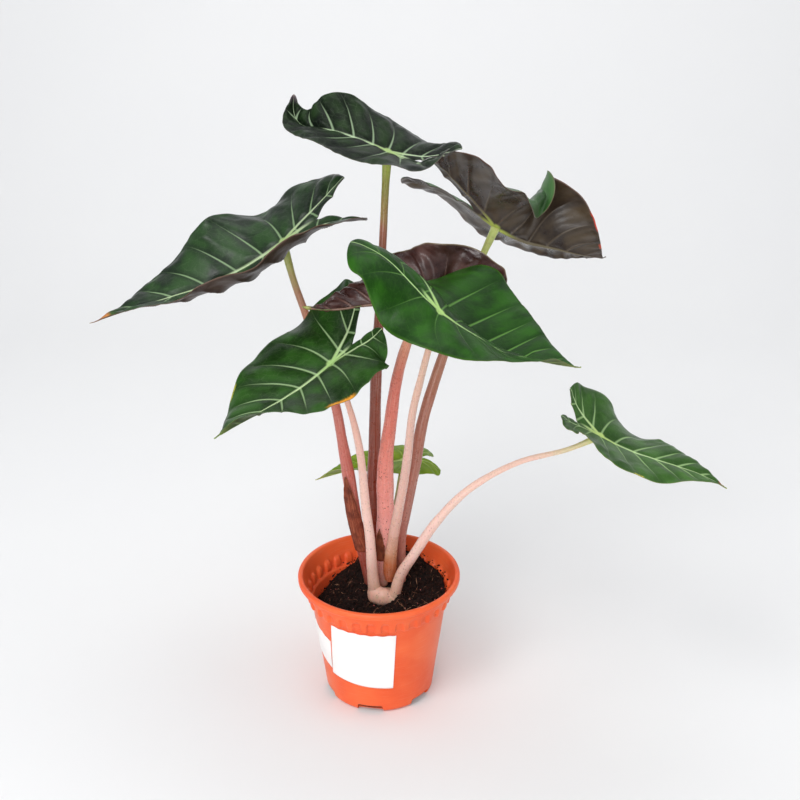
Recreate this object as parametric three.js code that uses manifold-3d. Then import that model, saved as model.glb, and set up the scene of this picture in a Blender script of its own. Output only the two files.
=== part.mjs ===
// Potted flamingo alocasia: a six inch plastic nursery pot filled with peat, and a young
// plant of eight leaves that stand on pink stalks from a crown at the middle of the pot.
// Millimetres, +Z up. The origin is the centre of the pot's flat underside.
import * as THREE from 'three';
import { mergeVertices } from 'three/addons/utils/BufferGeometryUtils.js';
import Module from 'manifold-3d';

const wasm = await Module();
wasm.setup();

const DEGREE = Math.PI / 180;
const CLEARANCE = 0.3;

// The pot
const POT_HEIGHT = 122;
const POT_FLOOR = 2.2;
const RIM_RADIUS = 75;
const LIP_HEIGHT = 6;
const LIP_FOOT = POT_HEIGHT - LIP_HEIGHT;
const BAND_FOOT = 97;
const FLUTES = 32;
const FLUTE_DEPTH = 2;
const SIDES_PER_FLUTE = 3;
const NOTCHES = 6;
const NOTCH_WIDTH = 24;
const NOTCH_HEIGHT = 7;
const NOTCH_REACH = 12;
const FOOT_RADIUS = 50;
const FIRST_NOTCH = -99.5;

// The plain lower wall, outside, as [height, radius]
const WALL = [[0, 48], [3, 50.5], [BAND_FOOT - 1, 62.6]];

// The pot's section as [radius, height], up the outside, over the lip and down the inside.
// The rows marked true are pressed in at the flutes.
const POT_SECTION = [
  ...WALL.map(([height, radius]) => [radius, height, false]),
  [66.2, BAND_FOOT, true],
  [67.8, 104.5, true],
  [68.4, 107.5, false],
  [69.4, 114.5, false],
  [RIM_RADIUS - 1.2, LIP_FOOT, false],
  [RIM_RADIUS, LIP_FOOT + 1.8, false],
  [RIM_RADIUS, POT_HEIGHT - 1.6, false],
  [RIM_RADIUS - 1.2, POT_HEIGHT, false],
  [RIM_RADIUS - 3.6, POT_HEIGHT, false],
  [RIM_RADIUS - 4.6, POT_HEIGHT - 1.4, false],
  [67.8, 113.5, false],
  [66.7, 107, false],
  [66.0, 104, true],
  [64.9, 98.4, true],
  [61.2, 96, false],
  [49, 5, false],
  [47, POT_FLOOR, false],
];

// The peat
const PEAT_MIDDLE = 92;
const PEAT_LUMP = 0.8;

// How high the peat stands at the wall, as [degrees from the right, height]
const PEAT_AT_WALL = [
  [0, 99], [20, 104], [45, 105], [55, 110], [80, 111], [104, 110], [114, 98],
  [135, 91], [150, 85], [180, 83], [225, 86], [270, 92], [315, 95], [360, 99],
];

// The crown, a swollen foot that the stalks grow from
const CROWN_CENTRE = [6, 5, 95];
const CROWN_RADII = [18, 15, 13];

// Blades
const BLADE_THICKNESS = 0.9;
const KEEL_DEPTH = 1.3;
const ROWS_BACK = 6;
const ROWS_FRONT = 10;
const COLUMNS = 5;
const SINUS_START = 0.2;
const LOBE_TIP = 0.42;
const STALK_SIDES = 10;
const STALK_STEPS = 14;

// How much thicker than the blade the cut is that ends a stalk below it
const BLADE_CUT = 1.3;

// How finely the midrib, and the way across a half blade, are summed up
const SPINE_PIECES = 24;
const ACROSS_PIECES = 12;

const COLOURS = {
  pot: 0xe2562f,
  peat: 0x1d1613,
  crown: 0xb9a987,
  stalk: 0xc98c80,
  paleStalk: 0xd9b3a2,
  blade: 0x2f5a2c,
  darkBlade: 0x24402a,
  youngBlade: 0x6f8a33,
  sheath: 0x8a4a3c,
  label: 0xf2efea,
};

function material(colour, roughness) {
  return new THREE.MeshStandardMaterial({ color: colour, roughness, metalness: 0 });
}

function lerpTable(table, at) {
  if (at <= table[0][0]) return table[0][1];
  for (let i = 1; i < table.length; i += 1) {
    const [low, lowValue] = table[i - 1];
    const [high, highValue] = table[i];
    if (at <= high) return lowValue + ((highValue - lowValue) * (at - low)) / (high - low);
  }
  return table[table.length - 1][1];
}

function clamp01(value) {
  return Math.min(1, Math.max(0, value));
}

function smooth(value) {
  const t = clamp01(value);
  return t * t * (3 - 2 * t);
}

// Closed meshes and solids

function meshGeometry(points, triangles) {
  const geometry = new THREE.BufferGeometry();
  geometry.setAttribute('position', new THREE.Float32BufferAttribute(points.flat(), 3));
  geometry.setIndex(triangles.flat());
  return geometry;
}

function solid(geometry) {
  const bare = geometry.clone();
  bare.deleteAttribute('normal');
  bare.deleteAttribute('uv');
  const merged = mergeVertices(bare, 1e-4);
  return new wasm.Manifold(new wasm.Mesh({
    numProp: 3,
    vertProperties: new Float32Array(merged.attributes.position.array),
    triVerts: new Uint32Array(merged.index.array),
  }));
}

function largestBody(shape) {
  return shape.decompose().reduce((best, body) => (body.volume() > best.volume() ? body : best));
}

function geometryOf(shape) {
  const { vertProperties, triVerts } = shape.getMesh();
  const geometry = new THREE.BufferGeometry();
  geometry.setAttribute('position', new THREE.Float32BufferAttribute(vertProperties, 3));
  geometry.setIndex(Array.from(triVerts));
  return geometry;
}

// Rings of points one above the other, joined by faces
function turned(steps, sectors, pointAt) {
  const points = [];
  const triangles = [];
  for (let i = 0; i < steps; i += 1) {
    for (let k = 0; k < sectors; k += 1) points.push(pointAt(i, (2 * Math.PI * k) / sectors, k));
  }
  for (let i = 0; i + 1 < steps; i += 1) {
    for (let k = 0; k < sectors; k += 1) {
      const next = (k + 1) % sectors;
      const a = i * sectors + k;
      const b = i * sectors + next;
      triangles.push([a, b, b + sectors], [a, b + sectors, a + sectors]);
    }
  }
  return { points, triangles };
}

function closeEnds({ points, triangles }, steps, sectors, first, last) {
  const start = points.push(first) - 1;
  const end = points.push(last) - 1;
  const offset = (steps - 1) * sectors;
  for (let k = 0; k < sectors; k += 1) {
    const next = (k + 1) % sectors;
    triangles.push([start, next, k], [end, offset + k, offset + next]);
  }
  return meshGeometry(points, triangles);
}

// The pot: one wall from the underside over the lip to the inside floor

function potGeometry() {
  const sectors = FLUTES * SIDES_PER_FLUTE;
  const shell = turned(POT_SECTION.length, sectors, (i, angle, k) => {
    const [radius, height, fluted] = POT_SECTION[i];
    const pressed = fluted && k % SIDES_PER_FLUTE !== 0;
    const reach = radius - (pressed ? FLUTE_DEPTH : 0);
    return [reach * Math.cos(angle), reach * Math.sin(angle), height];
  });
  return closeEnds(shell, POT_SECTION.length, sectors, [0, 0, 0], [0, 0, POT_FLOOR]);
}

function pot() {
  let shape = solid(potGeometry());
  for (let k = 0; k < NOTCHES; k += 1) {
    const angle = (FIRST_NOTCH + (360 / NOTCHES) * k) * DEGREE;
    const box = new THREE.BoxGeometry(NOTCH_REACH, NOTCH_WIDTH, 2 * NOTCH_HEIGHT);
    box.translate(FOOT_RADIUS, 0, 0);
    box.rotateZ(angle);
    shape = shape.subtract(solid(box));
  }
  return geometryOf(shape);
}

// The peat

// The peat's outside below its top, as [height, radius], clear of the wall and of the flutes' backs
const PEAT_SIDE = [
  [POT_FLOOR + CLEARANCE, 46.5], [5, 48.6], [95, 60.5], [97, 60.9], [100, 62.3], [104, 63.4], [118, 64.4],
];
const PEAT_RINGS = [1, 0.84, 0.64, 0.42, 0.2];

function peatHeight(angle, share) {
  const degrees = ((angle / DEGREE) % 360 + 360) % 360;
  const rise = lerpTable(PEAT_AT_WALL, degrees) - PEAT_MIDDLE;
  const lumps = Math.sin(5 * angle + 1.3 + 4 * share) + 0.6 * Math.sin(9 * angle - 7 * share);
  return PEAT_MIDDLE + rise * share ** 1.6 + PEAT_LUMP * lumps * share * (1.2 - share);
}

function peatGeometry() {
  const sectors = 48;
  const sideRows = 3;
  const body = turned(sideRows + PEAT_RINGS.length, sectors, (i, angle) => {
    const top = peatHeight(angle, 1);
    if (i < sideRows) {
      const height = Math.min(PEAT_SIDE[i][0], top - 1);
      const radius = lerpTable(PEAT_SIDE, height);
      return [radius * Math.cos(angle), radius * Math.sin(angle), height];
    }
    const share = PEAT_RINGS[i - sideRows];
    const reach = share * lerpTable(PEAT_SIDE, top);
    return [reach * Math.cos(angle), reach * Math.sin(angle), peatHeight(angle, share)];
  });
  const foot = [0, 0, POT_FLOOR + CLEARANCE];
  return closeEnds(body, sideRows + PEAT_RINGS.length, sectors, foot, [0, 0, PEAT_MIDDLE]);
}

// Stalks: [x, y, height, radius] from the foot up to the blade

const STALKS = [
  {
    name: 'petiole_1',
    course: [[-10, 20, 98, 4.2], [-15, 17, 131, 5.2], [-21, 15, 165, 6.1], [-27, 15, 212, 5.9],
      [-32, 17, 244, 4.9], [-38, 18, 283, 4.2], [-49, 20, 325, 3.8], [-62, 21, 367, 3.3],
      [-72, 22, 399, 3.0], [-80, 25, 432, 3.6]],
  },
  {
    name: 'petiole_2',
    course: [[-5, 30, 100, 4.8], [-5, 26, 141, 5.2], [-6, 24, 197, 5.6], [-4, 23, 230, 5.5],
      [-2, 25, 300, 5.2], [1, 29, 360, 4.2], [5, 36, 433, 3.2], [7, 40, 473, 3.2], [9, 40, 506, 4.2]],
  },
  {
    name: 'petiole_3',
    course: [[21, 19, 100, 4.0], [21, 19, 150, 4.7], [26, 22, 180, 5.3], [33, 29, 216, 5.4],
      [40, 37, 257, 5.3], [50, 46, 291, 5.0], [67, 60, 339, 4.1], [83, 72, 377, 3.3],
      [95, 79, 406, 3.1], [105, 80, 429, 4.0]],
  },
  {
    name: 'petiole_4',
    course: [[2, 17, 98, 5.8], [4, 15, 144, 6.8], [6, 14, 175, 8.0], [6, 11, 203, 8.0], [7, 4, 239, 6.8],
      [11, -4, 275, 5.6], [16, -12, 316, 5.0], [23, -22, 350, 4.3], [31, -32, 376, 3.7],
      [43, -40, 402, 3.8]],
  },
  {
    name: 'petiole_5',
    course: [[-4, 1, 99, 6.6], [-6, -2, 121, 5.8], [-8, -7, 163, 4.5], [-11, -10, 192, 4.2],
      [-15, -18, 250, 3.5], [-20, -25, 284, 3.0], [-25, -29, 306, 2.6], [-30, -34, 326, 2.4],
      [-38, -37, 345, 3.2]],
  },
  {
    name: 'petiole_6',
    course: [[10, 6, 110, 4.6], [10, 5, 118, 6.4], [10.5, 3, 131, 6.2], [13, -3, 157, 5.0],
      [17, -15, 188, 4.4], [22, -28, 224, 4.1], [26, -46, 264, 3.7], [30, -70, 316, 3.2], [36, -89, 353, 2.9],
      [42, -107, 387, 2.6], [52, -122, 427, 3.2]],
  },
  {
    name: 'petiole_7',
    course: [[14, -6, 99, 6.0], [20, -7, 122, 5.6], [32, -14, 148, 5.0], [52, -28, 190, 4.2],
      [80, -48, 234, 3.2], [119, -64, 267, 2.4], [159, -70, 282, 2.0], [185, -70, 294, 2.8]],
  },
  {
    name: 'petiole_8',
    course: [[12, 30, 100, 3.2], [13, 33, 133, 3.2], [15, 43, 160, 3.0], [19, 61, 180, 2.6],
      [23, 79, 198, 3.0]],
  },
];

function courseCurve(course) {
  const points = course.map(([x, y, z]) => new THREE.Vector3(x, y, z));
  return new THREE.CatmullRomCurve3(points, false, 'centripetal');
}

// A round stalk along a course, thicker by the given amount where it cuts its own socket
function stalkGeometry(course, extra = 0, steps = STALK_STEPS) {
  const curve = courseCurve(course);
  const frames = curve.computeFrenetFrames(steps, false);
  const places = [];
  for (let i = 0; i <= steps; i += 1) {
    const t = i / steps;
    const position = t * (course.length - 1);
    const low = Math.min(course.length - 2, Math.floor(position));
    const radius = course[low][3] + (course[low + 1][3] - course[low][3]) * (position - low);
    places.push({ centre: curve.getPoint(t), radius: radius + extra, frame: i });
  }
  places[0].centre.addScaledVector(frames.tangents[0], -extra);
  const tube = turned(steps + 1, STALK_SIDES, (i, angle) => {
    const { centre, radius, frame } = places[i];
    const across = frames.normals[frame].clone().multiplyScalar(Math.cos(angle) * radius);
    const around = frames.binormals[frame].clone().multiplyScalar(Math.sin(angle) * radius);
    return centre.clone().add(across).add(around).toArray();
  });
  const foot = places[0].centre.clone();
  return closeEnds(tube, steps + 1, STALK_SIDES, foot.toArray(), places[steps].centre.toArray());
}

// Blades. Each is drawn flat as an arrowhead, x along the midrib and y across it, then bent.
// Lists of five run from the lobe tips through the stalk, one third and two thirds to the tip.

const STATIONS = [-1, 0, 1 / 3, 2 / 3, 1];

const BLADES = [
  {
    name: 'leaf_1', colour: 'darkBlade', at: [-80, 25, 432], heading: 191, pitch: -17, roll: -15,
    length: 173, lobes: 72, width: 59, sweep: 9, twist: 8,
    arch: [-3, -19, -6, 7, 4], waves: 2.2,
    left: { fold: [0, -14, -20, 1, 28], curl: [69, 85, 111, 87, 33], droop: 30, wave: 11, phase: 130 },
    right: { fold: [17, 14, 38, 11, -14], curl: [-18, -23, -1, -4, -13], droop: -13, wave: 15, phase: -146 },
  },
  {
    name: 'leaf_2', colour: 'darkBlade', at: [9, 40, 506], heading: 167, pitch: 7, roll: 2,
    length: 112, lobes: 63, width: 52, sweep: -50, twist: 7,
    arch: [-7, 13, 7, -9, 5], hook: { start: 0.62, turn: 88 }, waves: 1.9,
    left: { fold: [6, 0, -9, -4, -12], curl: [-9, 3, 2, 3, -1], droop: -44, wave: 9, phase: -151 },
    right: { fold: [20, 24, 38, 65, 50], curl: [-18, -24, -22, -12, -4], droop: -16, wave: 6, phase: 63 },
  },
  {
    name: 'leaf_3', colour: 'darkBlade', at: [105, 80, 429], heading: -3, pitch: -31, roll: -64,
    length: 120, lobes: 85, width: 77, sweep: 6, twist: 6,
    arch: [4, -5, 26, 28, 40], waves: 1.5,
    left: { fold: [59, 51, 38, 30, 13], curl: [-35, -16, -2, 3, -5], droop: 15, wave: 8, phase: -75 },
    right: { fold: [1, -3, 63, 22, -8], curl: [-28, -25, 8, -1, -12], droop: 9, wave: 10, phase: -58 },
    flap: { side: 'right', place: 0.2, width: 0.13, start: 0.5, turn: -140 },
  },
  {
    name: 'leaf_4', colour: 'darkBlade', at: [43, -40, 402], heading: 185, pitch: -13, roll: 16,
    length: 100, lobes: 58, width: 47, sweep: -4, twist: 16,
    arch: [9, 9, 10, 6, 25], waves: 2.3,
    left: { fold: [59, 84, 93, 104, 129], curl: [-4, 23, 56, 86, 122], droop: 23, wave: 14, phase: 7 },
    right: { fold: [20, 40, 25, 8, 0], curl: [-17, 5, 38, 35, 30], droop: 0, wave: 3, phase: 44 },
  },
  {
    name: 'leaf_5', colour: 'blade', at: [-38, -37, 345], heading: 222, pitch: -16, roll: -24,
    length: 126, lobes: 68, width: 62, sweep: 6, twist: 53,
    arch: [-20, -15, 4, 14, 11], waves: 2.7,
    left: { fold: [18, 35, 14, 7, 48], curl: [9, -6, -3, -5, -15], droop: -73, wave: 5, phase: 132 },
    right: { fold: [2, 1, 12, 7, 5], curl: [-25, -28, -11, -7, -9], droop: -48, wave: 9, phase: -21 },
  },
  {
    name: 'leaf_6', colour: 'blade', at: [52, -122, 427], heading: -17, pitch: -27, roll: -4,
    length: 112, lobes: 78, width: 84, sweep: 1, twist: -19,
    arch: [10, -17, -1, 18, 24], waves: 1.8,
    left: { fold: [-75, 3, 22, 29, 29], curl: [-19, 13, 5, -13, -7], droop: 70, wave: 8, phase: 49 },
    right: { fold: [54, 36, 20, 2, 27], curl: [-145, -93, -34, -14, -4], droop: 4, wave: 13, phase: 54 },
  },
  {
    name: 'leaf_7', colour: 'blade', at: [185, -70, 294], heading: -17, pitch: -19, roll: 12,
    length: 109, lobes: 44, width: 52, sweep: 10, twist: -9,
    arch: [-8, -8, 6, 4, -17], waves: 1.9,
    left: { fold: [15, 5, -6, 2, 3], curl: [-12, -26, -29, -19, -10], droop: -29, wave: 14, phase: 148 },
    right: { fold: [15, 30, 17, 15, 13], curl: [10, -2, -11, -11, -11], droop: -36, wave: 12, phase: -125 },
  },
  {
    name: 'leaf_8', colour: 'youngBlade', at: [23, 79, 198], heading: 182, pitch: -12, roll: -8,
    length: 85, lobes: 35, width: 39, sweep: -1, twist: 19,
    arch: [7, 3, 1, -2, -10], waves: 2,
    left: { fold: [6, 19, 22, 30, 42], curl: [-12, -6, -6, -8, -8], droop: 38, wave: 4, phase: -59 },
    right: { fold: [-6, -2, 6, 13, 21], curl: [-21, -23, -17, -12, -10], droop: 51, wave: 5, phase: 63 },
  },
];

// A smooth curve through the five stations
function between(values, place) {
  const u = Math.min(1, Math.max(-1, place));
  let k = 0;
  while (k < STATIONS.length - 2 && u >= STATIONS[k + 1]) k += 1;
  const slope = (i) => {
    const low = Math.max(0, i - 1);
    const high = Math.min(STATIONS.length - 1, i + 1);
    return (values[high] - values[low]) / (STATIONS[high] - STATIONS[low]);
  };
  const span = STATIONS[k + 1] - STATIONS[k];
  const t = (u - STATIONS[k]) / span;
  const t2 = t * t;
  const t3 = t2 * t;
  return (2 * t3 - 3 * t2 + 1) * values[k] + (t3 - 2 * t2 + t) * span * slope(k)
    + (3 * t2 - 2 * t3) * values[k + 1] + (t3 - t2) * span * slope(k + 1);
}

function outerMargin(blade, x) {
  if (x >= 0) {
    const u = clamp01(x / blade.length);
    return blade.width * Math.max(0, Math.cos((Math.PI / 2) * u ** 1.25)) ** 1.15;
  }
  const v = clamp01(-x / blade.lobes);
  const fuller = 1 + 0.35 * smooth((v - 0.7) / 0.25);
  return blade.width * (LOBE_TIP + (1 - LOBE_TIP) * Math.max(0, 1 - v ** 2.2) ** 0.6 * fuller);
}

function innerMargin(blade, x) {
  const join = SINUS_START * blade.length;
  const v = clamp01((-x - join) / (blade.lobes - join));
  return blade.width * LOBE_TIP * (0.7 * v ** 0.8 + 0.3 * (1 - Math.sqrt(1 - v ** 3)));
}

// The frame of the midrib at x: where it is, and the two directions across it
function spine(blade, side) {
  const join = (SINUS_START * blade.length) / blade.lobes;
  const slopeAt = (u) => {
    const t = clamp01((-u - join) / (1 - join));
    const hook = blade.hook ? blade.hook.turn * smooth((u - blade.hook.start) / (1 - blade.hook.start)) : 0;
    return (between(blade.arch, u) + blade[side].droop * t * (2 - t) + hook) * DEGREE;
  };
  const sweepAt = (u) => (u > 0 ? blade.sweep * u * u * DEGREE : 0);
  const place = (x) => (x >= 0 ? x / blade.length : x / blade.lobes);
  const direction = (u) => new THREE.Vector3(
    Math.cos(slopeAt(u)) * Math.cos(sweepAt(u)),
    Math.cos(slopeAt(u)) * Math.sin(sweepAt(u)),
    Math.sin(slopeAt(u)),
  );
  return (x) => {
    const origin = new THREE.Vector3();
    for (let i = 0; i < SPINE_PIECES; i += 1) {
      origin.addScaledVector(direction(place(((i + 0.5) * x) / SPINE_PIECES)), x / SPINE_PIECES);
    }
    const u = place(x);
    const slope = slopeAt(u);
    const sweep = sweepAt(u);
    const turn = (u > 0 ? blade.twist * u : 0) * DEGREE;
    const across = new THREE.Vector3(-Math.sin(sweep), Math.cos(sweep), 0);
    const back = -Math.sin(slope);
    const up = new THREE.Vector3(back * Math.cos(sweep), back * Math.sin(sweep), Math.cos(slope));
    return {
      u,
      origin,
      across: across.clone().multiplyScalar(Math.cos(turn)).addScaledVector(up, Math.sin(turn)),
      up: up.clone().multiplyScalar(Math.cos(turn)).addScaledVector(across, -Math.sin(turn)),
    };
  };
}

// The rise of the blade away from the midrib, as an angle, at a share of the way to the margin
function riseAngle(blade, side, frame, x, share, reach) {
  const half = blade[side];
  const turn = (2 * Math.PI * blade.waves * x) / blade.length + half.phase * DEGREE;
  let angle = between(half.fold, frame.u) + (between(half.curl, frame.u) * share * reach) / blade.width;
  angle += half.wave * Math.sin(turn) * share ** 2;
  const { flap } = blade;
  if (flap && flap.side === side) {
    const bump = Math.exp(-(((frame.u - flap.place) / flap.width) ** 2));
    angle += flap.turn * bump * smooth((share - flap.start) / 0.25);
  }
  return angle * DEGREE;
}

function bladePoint(blade, side, frame, x, y, reach) {
  let out = 0;
  let rise = 0;
  for (let i = 0; i < ACROSS_PIECES; i += 1) {
    const share = Math.min(1, (y * (i + 0.5)) / ACROSS_PIECES / Math.max(reach, 1e-6));
    const angle = riseAngle(blade, side, frame, x, share, reach);
    out += (Math.cos(angle) * y) / ACROSS_PIECES;
    rise += (Math.sin(angle) * y) / ACROSS_PIECES;
  }
  const sign = side === 'left' ? 1 : -1;
  return frame.origin.clone().addScaledVector(frame.across, sign * out).addScaledVector(frame.up, rise);
}

function bladeRows(blade) {
  const rows = [];
  for (let i = 0; i < ROWS_BACK; i += 1) {
    const turn = ((i / ROWS_BACK) * Math.PI) / 2;
    rows.push(-blade.lobes * Math.cos(turn));
  }
  for (let i = 0; i <= ROWS_FRONT; i += 1) rows.push((blade.length * i) / ROWS_FRONT);
  return rows;
}

// The blade's middle surface, in its place on the plant, and how deep its keel is at each point
function bladeSurface(blade) {
  const [roll, pitch, heading] = [blade.roll, -blade.pitch, blade.heading].map((degrees) => degrees * DEGREE);
  const placing = new THREE.Euler(roll, pitch, heading, 'ZYX');
  const points = [];
  const keel = [];
  const triangles = [];
  for (const side of ['left', 'right']) {
    const along = spine(blade, side);
    const grid = bladeRows(blade).map((x) => {
      const frame = along(x);
      const inner = innerMargin(blade, x);
      const outer = Math.max(outerMargin(blade, x), inner);
      const row = [];
      for (let j = 0; j <= COLUMNS; j += 1) {
        const y = inner + ((outer - inner) * j) / COLUMNS;
        const point = bladePoint(blade, side, frame, x, y, outer).applyEuler(placing).toArray();
        row.push(points.push(point.map((value, axis) => value + blade.at[axis])) - 1);
        const onMidrib = j === 0 && inner === 0;
        keel.push(onMidrib ? KEEL_DEPTH * clamp01(1 - Math.max(frame.u, 0)) : 0);
      }
      return row;
    });
    for (let i = 0; i + 1 < grid.length; i += 1) {
      for (let j = 0; j < COLUMNS; j += 1) {
        const [a, b, c, d] = [grid[i][j], grid[i + 1][j], grid[i + 1][j + 1], grid[i][j + 1]];
        if (side === 'left') triangles.push([a, b, c], [a, c, d]);
        else triangles.push([a, c, b], [a, d, c]);
      }
    }
  }
  return { points, keel, triangles };
}

// Joins the points that lie together and drops the triangles that this closes up
function welded({ points, keel, triangles }) {
  const index = new Map();
  const kept = [];
  const keptKeel = [];
  const renamed = points.map((point, i) => {
    const key = point.map((value) => Math.round(value * 1000)).join();
    if (!index.has(key)) {
      index.set(key, kept.push(point) - 1);
      keptKeel.push(keel[i]);
    }
    return index.get(key);
  });
  const left = triangles.map((triangle) => triangle.map((corner) => renamed[corner]));
  return {
    points: kept,
    keel: keptKeel,
    triangles: left.filter(([a, b, c]) => a !== b && b !== c && c !== a),
  };
}

function surfaceNormals(points, triangles) {
  const normals = points.map(() => new THREE.Vector3());
  const vectors = points.map((point) => new THREE.Vector3(...point));
  for (const [a, b, c] of triangles) {
    const one = vectors[b].clone().sub(vectors[a]);
    const two = vectors[c].clone().sub(vectors[a]);
    const normal = one.cross(two);
    for (const corner of [a, b, c]) normals[corner].add(normal);
  }
  return normals.map((normal) => normal.normalize());
}

// A sheet of even thickness with both faces split alike and a deeper keel under the midrib
function thickened(surface, thickness, keelScale = 1) {
  const { points, keel, triangles } = welded(surface);
  const normals = surfaceNormals(points, triangles);
  const shifted = (i, distance) => points[i].map(
    (value, axis) => value + normals[i].getComponent(axis) * distance,
  );
  const top = points.map((point, i) => shifted(i, thickness / 2));
  const under = points.map((point, i) => shifted(i, -thickness / 2 - keel[i] * keelScale));
  const faces = triangles.slice();
  const count = points.length;
  const edges = new Map();
  for (const [a, b, c] of triangles) {
    faces.push([a + count, c + count, b + count]);
    for (const [from, to] of [[a, b], [b, c], [c, a]]) {
      if (edges.has(`${to},${from}`)) edges.delete(`${to},${from}`);
      else edges.set(`${from},${to}`, [from, to]);
    }
  }
  for (const [from, to] of edges.values()) {
    faces.push([from, from + count, to + count], [from, to + count, to]);
  }
  return meshGeometry([...top, ...under], faces);
}

// Labels and dry scales

// Corners as [degrees, height]: the foot from left to right, then the head
const LABELS = [
  { name: 'label_front', foot: [[-141, 34], [-76, 29]], head: [[-133, 93], [-75, 92]] },
  { name: 'label_side', foot: [[-183, 53], [-141.2, 39]], head: [[-183, 84], [-137.4, 72.5]] },
];
const LABEL_THICKNESS = 0.4;
const LABEL_GAP = 0.42;

// A label lies on the plain wall, below the flutes
function labelGeometry(label) {
  const columns = 14;
  const rows = 3;
  const points = [];
  const triangles = [];
  for (let i = 0; i <= rows; i += 1) {
    for (let j = 0; j <= columns; j += 1) {
      const along = ([from, to]) => from.map((value, axis) => value + ((to[axis] - value) * j) / columns);
      const [low, high] = [along(label.foot), along(label.head)];
      const degrees = low[0] + ((high[0] - low[0]) * i) / rows;
      const height = low[1] + ((high[1] - low[1]) * i) / rows;
      const radius = lerpTable(WALL, height) + LABEL_GAP + LABEL_THICKNESS / 2;
      points.push([radius * Math.cos(degrees * DEGREE), radius * Math.sin(degrees * DEGREE), height]);
    }
  }
  for (let i = 0; i < rows; i += 1) {
    for (let j = 0; j < columns; j += 1) {
      const a = i * (columns + 1) + j;
      const b = a + columns + 1;
      triangles.push([a, a + 1, b + 1], [a, b + 1, b]);
    }
  }
  return thickened({ points, keel: points.map(() => 0), triangles }, LABEL_THICKNESS);
}

// A dry scale wraps part of a stalk: a stretch of its course, an arc round it, and a pointed top
function scaleGeometry({ course, from, to, facing, arc, gap, thickness }) {
  const curve = courseCurve(course);
  const rows = 6;
  const columns = 7;
  const points = [];
  const triangles = [];
  for (let i = 0; i <= rows; i += 1) {
    const s = i / rows;
    const t = from + (to - from) * s;
    const centre = curve.getPoint(t);
    const position = t * (course.length - 1);
    const low = Math.min(course.length - 2, Math.floor(position));
    const radius = course[low][3] + (course[low + 1][3] - course[low][3]) * (position - low);
    const open = (arc / 2) * (1 - 0.85 * s ** 3);
    for (let j = 0; j <= columns; j += 1) {
      const angle = (facing + open * ((2 * j) / columns - 1)) * DEGREE;
      const reach = radius + gap + 1.2 * s * s;
      points.push([centre.x + reach * Math.cos(angle), centre.y + reach * Math.sin(angle), centre.z]);
    }
  }
  for (let i = 0; i < rows; i += 1) {
    for (let j = 0; j < columns; j += 1) {
      const a = i * (columns + 1) + j;
      const b = a + columns + 1;
      triangles.push([a, a + 1, b + 1], [a, b + 1, b]);
    }
  }
  return thickened({ points, keel: points.map(() => 0), triangles }, thickness);
}

// The whole plant

function crownGeometry() {
  const ball = new THREE.SphereGeometry(1, 24, 14);
  ball.scale(...CROWN_RADII);
  ball.translate(...CROWN_CENTRE);
  return ball;
}

function build() {
  const group = new THREE.Group();
  const add = (name, geometry, colour, roughness) => {
    const mesh = new THREE.Mesh(geometry, material(COLOURS[colour], roughness));
    mesh.name = name;
    group.add(mesh);
  };

  const sockets = STALKS.map(({ course }) => solid(stalkGeometry(course, CLEARANCE)));
  const swollen = crownGeometry();
  swollen.translate(-CROWN_CENTRE[0], -CROWN_CENTRE[1], -CROWN_CENTRE[2]);
  swollen.scale(...CROWN_RADII.map((radius) => (radius + CLEARANCE) / radius));
  swollen.translate(...CROWN_CENTRE);

  const crown = sockets.reduce((shape, socket) => shape.subtract(socket), solid(crownGeometry()));
  const bed = solid(peatGeometry()).subtract(solid(swollen));
  const peat = sockets.reduce((shape, socket) => shape.subtract(socket), bed);

  add('pot', pot(), 'pot', 0.45);
  add('soil', geometryOf(largestBody(peat)), 'peat', 0.95);
  add('crown', geometryOf(largestBody(crown)), 'crown', 0.7);

  BLADES.forEach((blade, i) => {
    const surface = bladeSurface(blade);
    const geometry = thickened(surface, BLADE_THICKNESS);
    const cutter = solid(thickened(surface, BLADE_THICKNESS + BLADE_CUT));
    const stalk = largestBody(solid(stalkGeometry(STALKS[i].course)).subtract(cutter));
    add(STALKS[i].name, geometryOf(stalk), i < 4 ? 'stalk' : 'paleStalk', 0.5);
    add(blade.name, geometry, blade.colour, 0.4);
  });

  add('dry_sheath', scaleGeometry({
    course: STALKS[0].course, from: 0.13, to: 0.34, facing: -110, arc: 230, gap: 1.0, thickness: 0.9,
  }), 'sheath', 0.8);
  add('dry_scale', scaleGeometry({
    course: STALKS[3].course, from: 0.07, to: 0.17, facing: -120, arc: 100, gap: 1.0, thickness: 0.9,
  }), 'sheath', 0.8);

  LABELS.forEach((label) => add(label.name, labelGeometry(label), 'label', 0.35));
  return group;
}

export default build();
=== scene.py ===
import math

import bpy
import numpy as np
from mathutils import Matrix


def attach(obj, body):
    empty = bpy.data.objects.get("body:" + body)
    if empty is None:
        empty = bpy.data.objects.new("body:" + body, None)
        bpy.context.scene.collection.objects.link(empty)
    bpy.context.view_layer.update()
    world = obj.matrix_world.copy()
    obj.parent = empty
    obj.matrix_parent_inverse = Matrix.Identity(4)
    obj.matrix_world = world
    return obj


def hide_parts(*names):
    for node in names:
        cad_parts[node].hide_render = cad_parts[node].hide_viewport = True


MM = 0.001
ROUND = 2 * math.pi

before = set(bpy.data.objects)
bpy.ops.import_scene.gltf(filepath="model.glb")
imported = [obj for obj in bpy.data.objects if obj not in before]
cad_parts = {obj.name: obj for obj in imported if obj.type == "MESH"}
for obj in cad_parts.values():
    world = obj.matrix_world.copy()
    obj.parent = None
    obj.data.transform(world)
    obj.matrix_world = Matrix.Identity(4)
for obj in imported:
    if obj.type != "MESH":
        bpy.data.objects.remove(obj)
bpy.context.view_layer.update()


# Camera and light

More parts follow.
